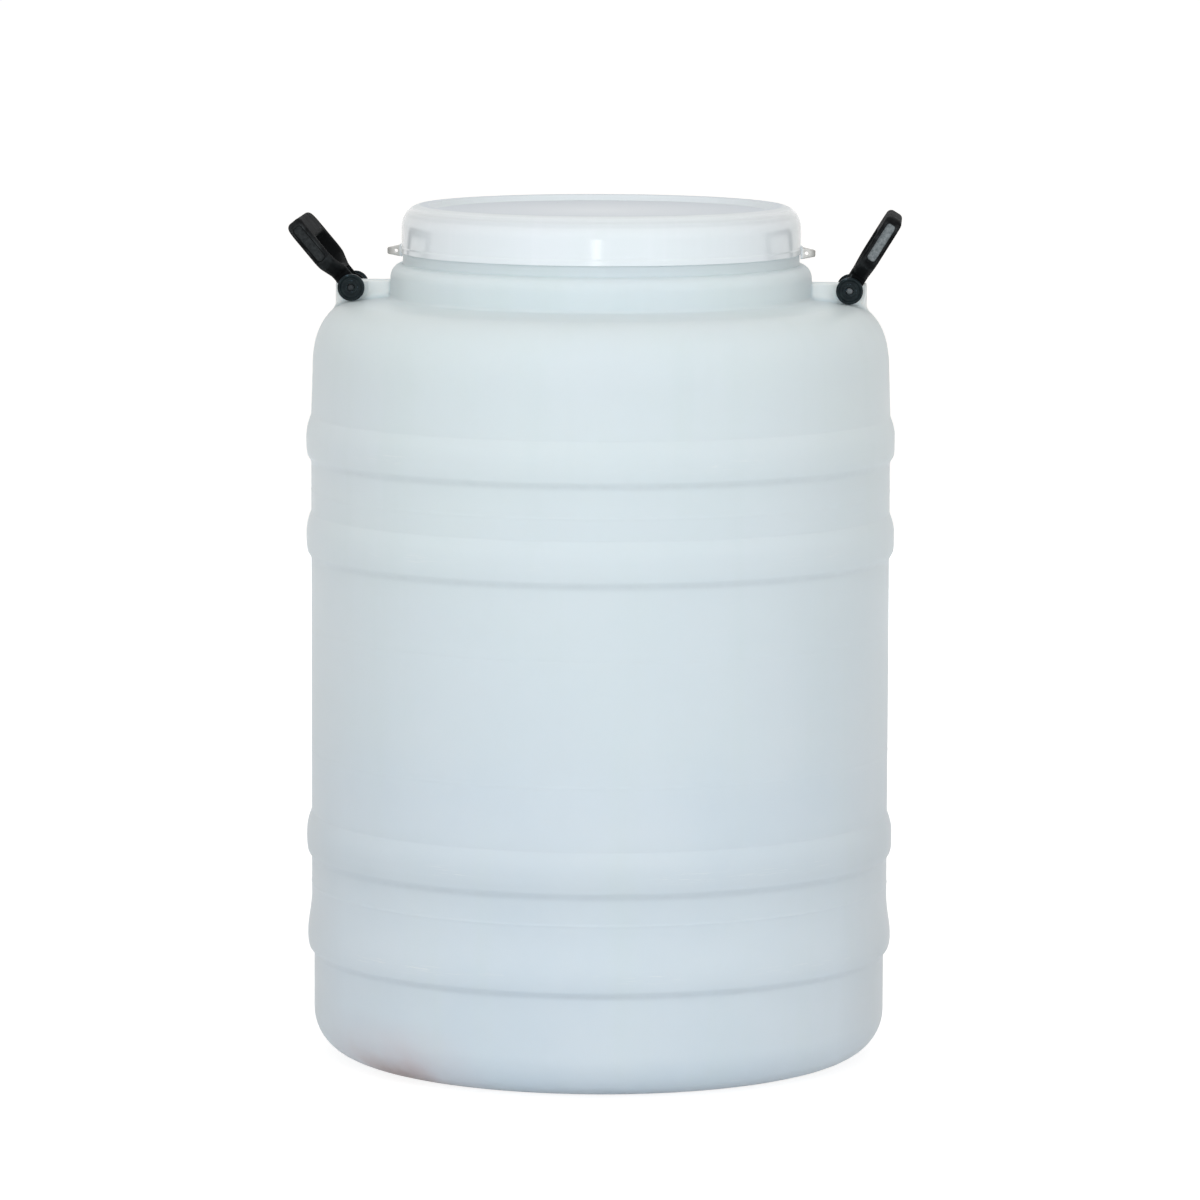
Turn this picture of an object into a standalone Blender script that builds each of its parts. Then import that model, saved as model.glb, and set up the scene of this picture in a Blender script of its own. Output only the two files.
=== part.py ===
"""A wide-mouthed storage barrel with a screw lid and two swinging carrying handles, in metres, +Z up.

The origin is the middle of the base, on the floor, and the barrel's axis is the Z axis. The mouth,
the lid and the hoops are turned round that axis. The two ears are moulded on the shoulder at +X and
-X, and each carries a handle on a pin that runs along Y. The handles stand at the angles at which
they lean in the photograph.
"""

import math

import bmesh
import bpy
from mathutils import Matrix, Vector

# How finely round shapes are divided
TURN_STEPS = 48
SMALL_TURN_STEPS = 18
CORNER_STEPS = 4
CREASE_STEPS = 2
# The gap between two pieces that touch, and how far a cutter runs past what it cuts
SEAT_GAP = 0.0003
OVERRUN = 0.004
# The edge angle over which a surface is shaded as a crease
CREASE_ANGLE = math.radians(32)

# Barrel body: every other radius is worked out inwards from the body's own
WALL = 0.003
BODY_RADIUS = 0.1964
SHOULDER_STEP = 0.0010
SHOULDER_WIDTH = 0.0527
SHOULDER_SLOPE_DROP = 0.0024
SHOULDER_BEND_WIDTH = 0.0304
SHOULDER_BEND_DROP = 0.0463
SHOULDER_POWER = 2.5
SHOULDER_STEPS = 7
INNER_SHOULDER_STEPS = 4
BASE_STEP = 0.0016
BASE_CORNER = 0.0294
BASE_CORNER_STEPS = 5
INNER_BASE_CORNER_STEPS = 3
FOOT_WIDTH = 0.0154
FOOT_SLOPE = 0.008
BASE_RISE = 0.005

# Hoops moulded round the body: two below the shoulder and one above the lowest hoop
UPPER_HOOP_DROPS = (0.0957, 0.1612)
LOWER_HOOP_GAP = 0.0225
HOOP_HEIGHT = 0.034
HOOP_RISE = 0.0033
HOOP_SHARES = (1, 0.6, 0, -0.6, -1)
INNER_HOOP_SHARES = (1, 0, -1)
# The lowest hoop swells slowly from above and steps back below its crest
BASE_HOOP_CREST = 0.0828
BASE_HOOP_ABOVE = 0.0272
BASE_HOOP_BELOW = 0.0160
BASE_HOOP_RISE = 0.0027
BASE_HOOP_UPPER_SHARES = ((1, 0), (0.5, 0.42), (0.25, 0.74), (0, 1))
BASE_HOOP_LOWER_SHARES = ((0.45, 0.74), (1, 0))
INNER_BASE_HOOP_UPPER_SHARES = ((1, 0), (0, 1))
INNER_BASE_HOOP_LOWER_SHARES = ((1, 0),)

# Neck: a band above the shoulder, a plain ring under the lid, then the threaded mouth
COLLAR_HEIGHT = 0.0233
COLLAR_BEND = 0.0095
COLLAR_STEPS = 4
INNER_COLLAR_STEPS = 2
COLLAR_CREASE = 0.003
RING_HEIGHT = 0.0075
RING_GAP = 0.0006
NECK_WALL = 0.0034
RIM_CHAMFER = 0.001

# Screw thread on the mouth and in the lid, right-handed
THREAD_LEAD = 0.009
THREAD_HEIGHT = 0.0035
THREAD_PLAY = 0.0011
THREAD_GAP = 0.0011
THREAD_FLANK = 0.0009
THREAD_SINK = 0.0008
THREAD_START_RISE = 0.0075
THREAD_END_DROP = 0.0058
THREAD_FADE_POINTS = 5
THREAD_END_SHARE = 0.35

# Lid: its top sets the whole barrel's height, and the neck follows its inside
LID_TOP = 0.5786
LID_HEIGHT = 0.0321
LID_INSET = 0.0072
LID_OVERHANG = 0.0012
LID_WALL = 0.0025
LID_TOP_WALL = 0.0028
LID_CORNER_WIDTH = 0.0135
LID_CORNER_HEIGHT = 0.0156
LID_CORNER_STEPS = 5
LID_RIM_WIDTH = 0.0190
LID_RECESS_SLOPE = 0.0022
LID_RECESS_DEPTH = 0.004
LID_LIP = 0.0008

# The two lugs on the lid's lower edge, each with a hole for a seal
LUG_REACH = 0.0095
LUG_ROOT_HEIGHT = 0.0078
LUG_TIP_HEIGHT = 0.0042
LUG_DROP = 0.0036
LUG_WIDTH = 0.006
LUG_HOLE_RADIUS = 0.0013
LUG_HOLE_REACH = 0.0036
LUG_BEVEL = 0.0006

# Sealing ring between the mouth and the lid
GASKET_THICKNESS = 0.0025
GASKET_PLAY = 0.0033

# Ears on the shoulder
PIVOT_INSET = 0.0269
EAR_RISE = 0.0044
EAR_REACH = 0.0115
EAR_THICKNESS = 0.0154
EAR_EDGE = 0.0016
EAR_ROOT_DEPTH = 0.012
BOSS_RISE = 0.0008
BOSS_RADIUS = 0.0113
BOSS_STEPS = 10

# Pivot pins and the round caps on their ends
PIN_RADIUS = 0.0022
PIN_CLEARANCE = 0.0003
PIN_CHAMFER = 0.0005
PIN_STAND_OUT = 0.0004
CAP_RADIUS = 0.0091
CAP_THICKNESS = 0.0026
CAP_RIM_WIDTH = 0.0016
CAP_RIM_HEIGHT = 0.0007
CAP_BEVEL = 0.0005
CAP_SHOULDER_PLAY = 0.0002

# Handles, a closed loop above a fork; lengths along the handle are measured from its pivot
HANDLE_WIDTH = 0.086
HANDLE_THICKNESS = 0.0115
HANDLE_EDGE = 0.003
HANDLE_EDGE_STEPS = 1
LOOP_CORNER = 0.0105
LOOP_SHOULDER = 0.022
GRIP_HEIGHT = 0.017
LEG_WIDTH = 0.010
LOWER_BAR_HEIGHT = 0.0058
GAP_HEIGHT = 0.0246
GAP_FLOOR_WIDTH = 0.024
GAP_CORNER = 0.0075
GAP_CORNER_MAX_SHARE = 0.5
FORK_FILLET = 0.002
CAP_PLAY = 0.0005
FORK_PLAY = 0.0005
CROTCH_PLAY = 0.0006
TINE_THICKNESS = 0.006
EYE_RADIUS = 0.0075
POCKET_LENGTH = 0.029
POCKET_WIDTH = 0.0072
POCKET_DEPTH = 0.003
POCKET_CORNER = 0.0026
LEFT_LEAN = math.radians(40)
RIGHT_LEAN = math.radians(31.7)

# Colours, with roughness
BODY_COLOUR = (0.72, 0.77, 0.78)
BODY_ROUGHNESS = 0.42
LID_COLOUR = (0.84, 0.85, 0.88)
LID_ROUGHNESS = 0.30
GASKET_COLOUR = (0.55, 0.55, 0.53)
GASKET_ROUGHNESS = 0.75
HANDLE_COLOUR = (0.022, 0.023, 0.025)
HANDLE_ROUGHNESS = 0.38
CAP_COLOUR = (0.020, 0.027, 0.032)
CAP_ROUGHNESS = 0.33
PIN_COLOUR = (0.58, 0.58, 0.57)
PIN_ROUGHNESS = 0.35

# Radii that follow from the body's
SHOULDER_RADIUS = BODY_RADIUS - SHOULDER_STEP
SHOULDER_BEND_RADIUS = SHOULDER_RADIUS - SHOULDER_BEND_WIDTH
BASE_RADIUS = BODY_RADIUS - BASE_STEP
FOOT_INNER_RADIUS = BASE_RADIUS - BASE_CORNER - FOOT_WIDTH
COLLAR_RADIUS = SHOULDER_RADIUS - SHOULDER_WIDTH
LID_RADIUS = COLLAR_RADIUS - LID_INSET
LID_INNER_RADIUS = LID_RADIUS - LID_WALL
LID_INNER_CORNER = (LID_CORNER_WIDTH - LID_WALL) / 2
LID_CEILING_RADIUS = LID_INNER_RADIUS - LID_INNER_CORNER
LID_RECESS_RADIUS = LID_RADIUS - LID_RIM_WIDTH
CHANNEL_RADIUS = LID_RECESS_RADIUS + LID_RECESS_SLOPE
RING_RADIUS = LID_RADIUS - LID_OVERHANG
NECK_RADIUS = LID_INNER_RADIUS - THREAD_HEIGHT - THREAD_PLAY
MOUTH_RADIUS = NECK_RADIUS - NECK_WALL
PIVOT_RADIUS = SHOULDER_RADIUS - PIVOT_INSET
EAR_END_RADIUS = PIVOT_RADIUS + EAR_REACH

# Heights that follow from the lid's top
LID_BOTTOM = LID_TOP - LID_HEIGHT
LID_CEILING = LID_TOP - LID_TOP_WALL
RIM_TOP = LID_CEILING - GASKET_THICKNESS - SEAT_GAP - SEAT_GAP
RING_TOP = LID_BOTTOM - RING_GAP
COLLAR_TOP = LID_BOTTOM - RING_HEIGHT
SHOULDER_TOP = COLLAR_TOP - COLLAR_HEIGHT
PIVOT_HEIGHT = SHOULDER_TOP - SHOULDER_SLOPE_DROP + CAP_RADIUS + CAP_SHOULDER_PLAY
EAR_TOP = PIVOT_HEIGHT + EAR_RISE
LOWER_HOOP_BOTTOM = BASE_HOOP_CREST + BASE_HOOP_ABOVE + LOWER_HOOP_GAP
HOOP_MIDDLES = [SHOULDER_TOP - drop for drop in UPPER_HOOP_DROPS]
HOOP_MIDDLES.append(LOWER_HOOP_BOTTOM + HOOP_HEIGHT / 2)
THREAD_START = RING_TOP + THREAD_START_RISE
THREAD_TURNS = (RIM_TOP - THREAD_END_DROP - THREAD_START) / THREAD_LEAD
THREAD_CREST_WIDTH = THREAD_LEAD / 2 - THREAD_GAP
THREAD_ROOT_WIDTH = THREAD_CREST_WIDTH + THREAD_FLANK * 2
LUG_BOTTOM = LID_BOTTOM - LUG_DROP

# Sizes of the handles and their pivots that follow from those above
BOSS_THICKNESS = EAR_THICKNESS + BOSS_RISE * 2
TINE_INNER = BOSS_THICKNESS / 2 + FORK_PLAY
TINE_OUTER = TINE_INNER + TINE_THICKNESS
CAP_INNER = TINE_OUTER + SEAT_GAP
CAP_OUTER = CAP_INNER + CAP_THICKNESS
PIN_HALF_LENGTH = CAP_OUTER + CAP_RIM_HEIGHT + PIN_STAND_OUT
HOLE_RADIUS = PIN_RADIUS + PIN_CLEARANCE
CROTCH = math.hypot(EAR_REACH, EAR_RISE) + CROTCH_PLAY
FORK_SHOULDER = CAP_RADIUS + CAP_PLAY + FORK_FILLET
GAP_BOTTOM = FORK_SHOULDER + LOWER_BAR_HEIGHT
GAP_TOP = GAP_BOTTOM + GAP_HEIGHT
HANDLE_REACH = GAP_TOP + GRIP_HEIGHT
GAP_WIDTH = HANDLE_WIDTH - LEG_WIDTH * 2
LOOP_SLOPE_SHARE = (LOOP_SHOULDER - FORK_SHOULDER) / (HANDLE_WIDTH / 2 - TINE_OUTER)
GAP_SIDE_BOTTOM = GAP_BOTTOM + LOOP_SLOPE_SHARE * (GAP_WIDTH - GAP_FLOOR_WIDTH) / 2


def clear_scene():
    """Empties the scene, so that the script can run again in the same file."""
    for obj in list(bpy.data.objects):
        bpy.data.objects.remove(obj)
    for collection in list(bpy.data.collections):
        bpy.data.collections.remove(collection)
    for mesh in list(bpy.data.meshes):
        bpy.data.meshes.remove(mesh)
    for material in list(bpy.data.materials):
        bpy.data.materials.remove(material)


def new_collection(name):
    """A new collection in the scene."""
    collection = bpy.data.collections.new(name)
    bpy.context.scene.collection.children.link(collection)
    return collection


def new_material(name, colour, roughness, metallic=0):
    """A Principled BSDF material."""
    material = bpy.data.materials.new(name)
    material.use_nodes = True
    shader = material.node_tree.nodes["Principled BSDF"]
    shader.inputs["Base Color"].default_value = (*colour, 1)
    shader.inputs["Roughness"].default_value = roughness
    shader.inputs["Metallic"].default_value = metallic
    material.diffuse_color = (*colour, 1)
    return material


def new_object(name, data, collection):
    """A new object of this mesh or curve, in this collection."""
    obj = bpy.data.objects.new(name, data)
    collection.objects.link(obj)
    return obj


def hide_cutter(obj):
    """Marks an object as a helper that isn't part of the barrel."""
    obj.display_type = "WIRE"
    obj.hide_render = True
    return obj


def evaluated_mesh(obj):
    """The mesh that an object's modifiers or curve settings make, with loose caps joined up."""
    bpy.context.view_layer.update()
    graph = bpy.context.evaluated_depsgraph_get()
    mesh = bpy.data.meshes.new_from_object(obj.evaluated_get(graph))
    work = bmesh.new()
    work.from_mesh(mesh)
    bmesh.ops.remove_doubles(work, verts=work.verts, dist=SEAT_GAP / 10)
    bmesh.ops.recalc_face_normals(work, faces=work.faces)
    work.to_mesh(mesh)
    work.free()
    mesh.name = obj.name
    return mesh


def curve_to_mesh(curve_object, collection, turn=Matrix()):
    """Replaces a curve object with the mesh that it makes, turned by a matrix."""
    mesh = evaluated_mesh(curve_object)
    mesh.transform(turn @ curve_object.matrix_world)
    name = curve_object.name
    bpy.data.objects.remove(curve_object)
    return new_object(name, mesh, collection)


def arc(centre, radii, start, end, steps):
    """Points of an elliptical arc between two angles, in degrees."""
    points = []
    for step in range(steps + 1):
        angle = math.radians(start + (end - start) * step / steps)
        points.append((centre[0] + radii[0] * math.cos(angle), centre[1] + radii[1] * math.sin(angle)))
    return points


def rounded_loop(corners):
    """The points of a closed outline through (x, y, radius) corners, each corner turned with its radius."""
    points = []
    for index, (x, y, radius) in enumerate(corners):
        if not radius:
            points.append((x, y))
            continue
        here = Vector((x, y))
        after_corner = corners[(index + 1) % len(corners)]
        before = (Vector(corners[index - 1][:2]) - here).normalized()
        after = (Vector(after_corner[:2]) - here).normalized()
        half = before.angle(after) / 2
        centre = here + (before + after).normalized() * (radius / math.sin(half))
        spoke = here + before * (radius / math.tan(half)) - centre
        turn = math.copysign(math.pi - half * 2, after.cross(before))
        for step in range(CORNER_STEPS + 1):
            points.append(centre + Matrix.Rotation(turn * step / CORNER_STEPS, 2) @ spoke)
    return points


def turned(name, outline, collection, steps=TURN_STEPS, ring=False):
    """A solid turned round Z from an outline of (radius, height) points that runs down its outer side."""
    mesh = bpy.data.meshes.new(name)
    edges = [(index, index + 1) for index in range(len(outline) - 1)]
    if ring:
        edges.append((len(outline) - 1, 0))
    mesh.from_pydata([(radius, 0, height) for radius, height in outline], edges, [])
    obj = new_object(name, mesh, collection)
    screw = obj.modifiers.new("Turn", "SCREW")
    screw.axis = "Z"
    screw.steps = steps
    screw.render_steps = steps
    screw.use_merge_vertices = True
    screw.merge_threshold = SEAT_GAP / 10
    screw.use_smooth_shade = True
    return obj


def plate(name, loops, thickness, turn, collection, edge=0, edge_steps=1):
    """A flat piece of one thickness: the first loop is its outline, and any others are holes."""
    curve = bpy.data.curves.new(name, "CURVE")
    curve.dimensions = "2D"
    curve.fill_mode = "BOTH"
    curve.extrude = thickness / 2 - edge
    curve.bevel_depth = edge
    curve.offset = -edge
    curve.bevel_resolution = edge_steps
    for loop in loops:
        spline = curve.splines.new("POLY")
        spline.points.add(len(loop) - 1)
        for point, (x, y) in zip(spline.points, loop):
            point.co = (x, y, 0, 1)
        spline.use_cyclic_u = True
    return curve_to_mesh(new_object(name, curve, collection), collection, turn)


def rod(name, radius, half_length, centre, collection, steps=SMALL_TURN_STEPS):
    """A plain cylinder along Y, as a cutter or as a boss."""
    mesh = bpy.data.meshes.new(name)
    work = bmesh.new()
    bmesh.ops.create_cone(
        work, cap_ends=True, segments=steps, radius1=radius, radius2=radius, depth=half_length * 2
    )
    work.to_mesh(mesh)
    work.free()
    mesh.transform(Matrix.Translation(centre) @ Matrix.Rotation(math.pi / 2, 4, "X"))
    return new_object(name, mesh, collection)


def combine(obj, operation, other):
    """Joins another mesh to an object, or cuts it away."""
    modifier = obj.modifiers.new(other.name, "BOOLEAN")
    modifier.operation = operation
    modifier.object = other
    modifier.solver = "EXACT"
    hide_cutter(other)


def settle(obj, material):
    """Makes an object's modifiers its mesh, shades it smooth but for its creases, and paints it."""
    mesh = evaluated_mesh(obj)
    obj.modifiers.clear()
    obj.data = mesh
    mesh.shade_smooth()
    mesh.set_sharp_from_angle(angle=CREASE_ANGLE)
    mesh.materials.clear()
    mesh.materials.append(material)
    return obj


# Matrices that stand a flat outline up: seen from the front, and seen from the side
FACING_FRONT = Matrix.Rotation(math.pi / 2, 4, "X")
FACING_SIDE = Matrix(((0, 0, 1, 0), (1, 0, 0, 0), (0, 1, 0, 0), (0, 0, 0, 1)))


def hoop_outline(inset, fine):
    """The three equal hoops and the lowest one, from the top down."""
    points = []
    shares = HOOP_SHARES if fine else INNER_HOOP_SHARES
    for middle in HOOP_MIDDLES:
        for share in shares:
            rise = HOOP_RISE * (1 - abs(share) ** 3)
            points.append((BODY_RADIUS - inset + rise, middle + HOOP_HEIGHT / 2 * share))
    upper = BASE_HOOP_UPPER_SHARES if fine else INNER_BASE_HOOP_UPPER_SHARES
    lower = BASE_HOOP_LOWER_SHARES if fine else INNER_BASE_HOOP_LOWER_SHARES
    for along, out in upper:
        height = BASE_HOOP_CREST + BASE_HOOP_ABOVE * along
        points.append((BODY_RADIUS - inset + BASE_HOOP_RISE * out, height))
    step_back = BASE_HOOP_RISE + BASE_STEP
    for along, out in lower:
        height = BASE_HOOP_CREST - BASE_HOOP_BELOW * along
        points.append((BASE_RADIUS - inset + step_back * out, height))
    return points


def shell_outline(inset, fine):
    """The outside of the body from the neck down to the middle of the base, or its inside with an inset."""
    collar_steps = COLLAR_STEPS if fine else INNER_COLLAR_STEPS
    shoulder_steps = SHOULDER_STEPS if fine else INNER_SHOULDER_STEPS
    corner_steps = BASE_CORNER_STEPS if fine else INNER_BASE_CORNER_STEPS
    bend = COLLAR_RADIUS - RING_RADIUS
    bend_centre = (RING_RADIUS - inset, COLLAR_TOP - COLLAR_BEND)
    points = arc(bend_centre, (bend, COLLAR_BEND - inset), 90, 0, collar_steps)
    crease_centre = (COLLAR_RADIUS + COLLAR_CREASE, SHOULDER_TOP + COLLAR_CREASE)
    crease = COLLAR_CREASE + inset
    points += arc(crease_centre, (crease, crease), 180, 270, CREASE_STEPS)
    bend_top = SHOULDER_TOP - SHOULDER_SLOPE_DROP - inset
    reach = SHOULDER_BEND_WIDTH - inset
    drop = SHOULDER_BEND_DROP - inset
    for step in range(shoulder_steps + 1):
        fall = (step / shoulder_steps) ** 2
        out = math.sqrt(1 - (1 - fall) ** SHOULDER_POWER)
        points.append((SHOULDER_BEND_RADIUS + reach * out, bend_top - drop * fall))
    points += hoop_outline(inset, fine)
    corner_centre = (BASE_RADIUS - BASE_CORNER, BASE_CORNER)
    corner = BASE_CORNER - inset
    points += arc(corner_centre, (corner, corner), 0, -90, corner_steps)
    points.append((FOOT_INNER_RADIUS, inset))
    points.append((FOOT_INNER_RADIUS - FOOT_SLOPE, inset + BASE_RISE))
    points.append((0, inset + BASE_RISE))
    return points


def thread(name, root_radius, outward, start_height, collection):
    """One helical thread ridge, swept along its helix, that fades in and out at its ends."""
    profile = bpy.data.curves.new(name + "_profile", "CURVE")
    profile.dimensions = "2D"
    spline = profile.splines.new("POLY")
    spline.points.add(3)
    side = 1 if outward else -1
    root = -side * THREAD_SINK
    crest = side * THREAD_HEIGHT
    section = (
        (root, -THREAD_ROOT_WIDTH / 2),
        (crest, -THREAD_CREST_WIDTH / 2),
        (crest, THREAD_CREST_WIDTH / 2),
        (root, THREAD_ROOT_WIDTH / 2),
    )
    for point, (x, y) in zip(spline.points, section):
        point.co = (x, y, 0, 1)
    spline.use_cyclic_u = True
    profile_object = new_object(profile.name, profile, collection)

    helix = bpy.data.curves.new(name, "CURVE")
    helix.dimensions = "3D"
    helix.twist_mode = "Z_UP"
    helix.bevel_mode = "OBJECT"
    helix.bevel_object = profile_object
    helix.use_fill_caps = True
    path = helix.splines.new("POLY")
    last = round(TURN_STEPS * THREAD_TURNS)
    path.points.add(last)
    for index, point in enumerate(path.points):
        angle = math.tau * index / TURN_STEPS
        height = start_height + THREAD_LEAD * index / TURN_STEPS
        point.co = (root_radius * math.cos(angle), root_radius * math.sin(angle), height, 1)
        from_end = min(index, last - index)
        point.radius = min(1, THREAD_END_SHARE + (1 - THREAD_END_SHARE) * from_end / THREAD_FADE_POINTS)
    ridge = curve_to_mesh(new_object(name, helix, collection), collection)
    bpy.data.objects.remove(profile_object)
    return ridge


def ear_pieces(cutters):
    """The ear at +X: a slab that grows out of the shoulder, and a thicker boss round the pin's hole."""
    slab_loop = rounded_loop(
        [
            (COLLAR_RADIUS - WALL, SHOULDER_TOP - EAR_ROOT_DEPTH, 0),
            (EAR_END_RADIUS, SHOULDER_TOP - EAR_ROOT_DEPTH, 0),
            (EAR_END_RADIUS, EAR_TOP, EAR_EDGE),
            (COLLAR_RADIUS - WALL, EAR_TOP, 0),
        ]
    )
    slab = plate("ear_slab", [slab_loop], EAR_THICKNESS, FACING_FRONT, cutters)
    boss_end = EAR_END_RADIUS - EAR_EDGE / 2
    boss_loop = [(PIVOT_RADIUS - BOSS_RADIUS, EAR_TOP - EAR_EDGE / 2)]
    boss_loop += arc((PIVOT_RADIUS, PIVOT_HEIGHT), (BOSS_RADIUS, BOSS_RADIUS), 180, 360, BOSS_STEPS)
    boss_loop = [(min(x, boss_end), z) for x, z in boss_loop]
    boss_loop.append((boss_end, EAR_TOP - EAR_EDGE / 2))
    boss = plate("ear_boss", [boss_loop], BOSS_THICKNESS, FACING_FRONT, cutters)
    return slab, boss


def make_body(parts, cutters, material):
    """The blow-moulded body: outside, ears and thread joined, then hollowed through the mouth."""
    outline = [
        (0, RIM_TOP),
        (NECK_RADIUS - RIM_CHAMFER, RIM_TOP),
        (NECK_RADIUS, RIM_TOP - RIM_CHAMFER),
        (NECK_RADIUS, RING_TOP),
        (RING_RADIUS, RING_TOP),
    ]
    body = turned("barrel_body", outline + shell_outline(0, True), parts)
    half_turn = Matrix.Rotation(math.pi, 4, "Z")
    for side in ("right", "left"):
        for piece in ear_pieces(cutters):
            piece.name = side + "_" + piece.name
            if side == "left":
                piece.data.transform(half_turn)
            combine(body, "UNION", piece)
    ridge = thread("neck_thread", NECK_RADIUS, True, THREAD_START, cutters)
    combine(body, "UNION", ridge)
    inside = [
        (0, RIM_TOP + OVERRUN),
        (MOUTH_RADIUS, RIM_TOP + OVERRUN),
        (MOUTH_RADIUS, COLLAR_TOP),
    ]
    combine(body, "DIFFERENCE", turned("body_inside", inside + shell_outline(WALL, False), cutters))
    for side, sign in (("right", 1), ("left", -1)):
        centre = (sign * PIVOT_RADIUS, 0, PIVOT_HEIGHT)
        hole = rod(side + "_ear_hole", HOLE_RADIUS, BOSS_THICKNESS, centre, cutters)
        combine(body, "DIFFERENCE", hole)
    return settle(body, material)


def make_lid(parts, cutters, material):
    """The screw lid: a cap with a rounded edge and a shallow recess, threaded inside, with two lugs."""
    floor = LID_TOP - LID_RECESS_DEPTH
    corner_centre = (LID_RADIUS - LID_CORNER_WIDTH, LID_TOP - LID_CORNER_HEIGHT)
    corner = (LID_CORNER_WIDTH, LID_CORNER_HEIGHT)
    outline = [(0, floor), (LID_RECESS_RADIUS - LID_RECESS_SLOPE, floor), (LID_RECESS_RADIUS, LID_TOP)]
    outline += arc(corner_centre, corner, 90, 0, LID_CORNER_STEPS)
    outline += [
        (LID_RADIUS, LID_BOTTOM + LID_LIP),
        (LID_RADIUS - LID_LIP, LID_BOTTOM),
        (0, LID_BOTTOM),
    ]
    lid = turned("lid", outline, parts)
    hollow = [
        (0, floor - LID_TOP_WALL),
        (LID_RECESS_RADIUS, floor - LID_TOP_WALL),
        (CHANNEL_RADIUS, LID_CEILING),
        (LID_CEILING_RADIUS, LID_CEILING),
        (LID_INNER_RADIUS, LID_CEILING - LID_INNER_CORNER),
        (LID_INNER_RADIUS, LID_BOTTOM - OVERRUN),
        (0, LID_BOTTOM - OVERRUN),
    ]
    combine(lid, "DIFFERENCE", turned("lid_inside", hollow, cutters))
    ridge_start = THREAD_START - THREAD_LEAD / 2
    combine(lid, "UNION", thread("lid_thread", LID_INNER_RADIUS, False, ridge_start, cutters))
    middle = LUG_BOTTOM + LUG_ROOT_HEIGHT / 2
    tip = LID_RADIUS + LUG_REACH
    lug_root = RING_RADIUS + RING_GAP
    lug_loop = rounded_loop(
        [
            (lug_root, LUG_BOTTOM, 0),
            (tip, middle - LUG_TIP_HEIGHT / 2, LUG_BEVEL),
            (tip, middle + LUG_TIP_HEIGHT / 2, LUG_BEVEL),
            (lug_root, LUG_BOTTOM + LUG_ROOT_HEIGHT, 0),
        ]
    )
    for name, turn in (("right", Matrix()), ("left", Matrix.Rotation(math.pi, 4, "Z"))):
        lug = plate(name + "_lug", [lug_loop], LUG_WIDTH, turn @ FACING_FRONT, cutters)
        combine(lid, "UNION", lug)
        centre = turn @ Vector((LID_RADIUS + LUG_HOLE_REACH, 0, middle))
        hole = rod(name + "_lug_hole", LUG_HOLE_RADIUS, LUG_WIDTH, centre, cutters, SMALL_TURN_STEPS // 2)
        combine(lid, "DIFFERENCE", hole)
    return settle(lid, material)


def make_gasket(parts, material):
    """The flat sealing ring on the mouth's rim, under the lid's ceiling."""
    bottom = RIM_TOP + SEAT_GAP
    top = bottom + GASKET_THICKNESS
    inner = CHANNEL_RADIUS + GASKET_PLAY
    outer = LID_CEILING_RADIUS - SEAT_GAP
    outline = [(inner, top), (outer, top), (outer, bottom), (inner, bottom)]
    return settle(turned("lid_gasket", outline, parts, ring=True), material)


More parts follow.
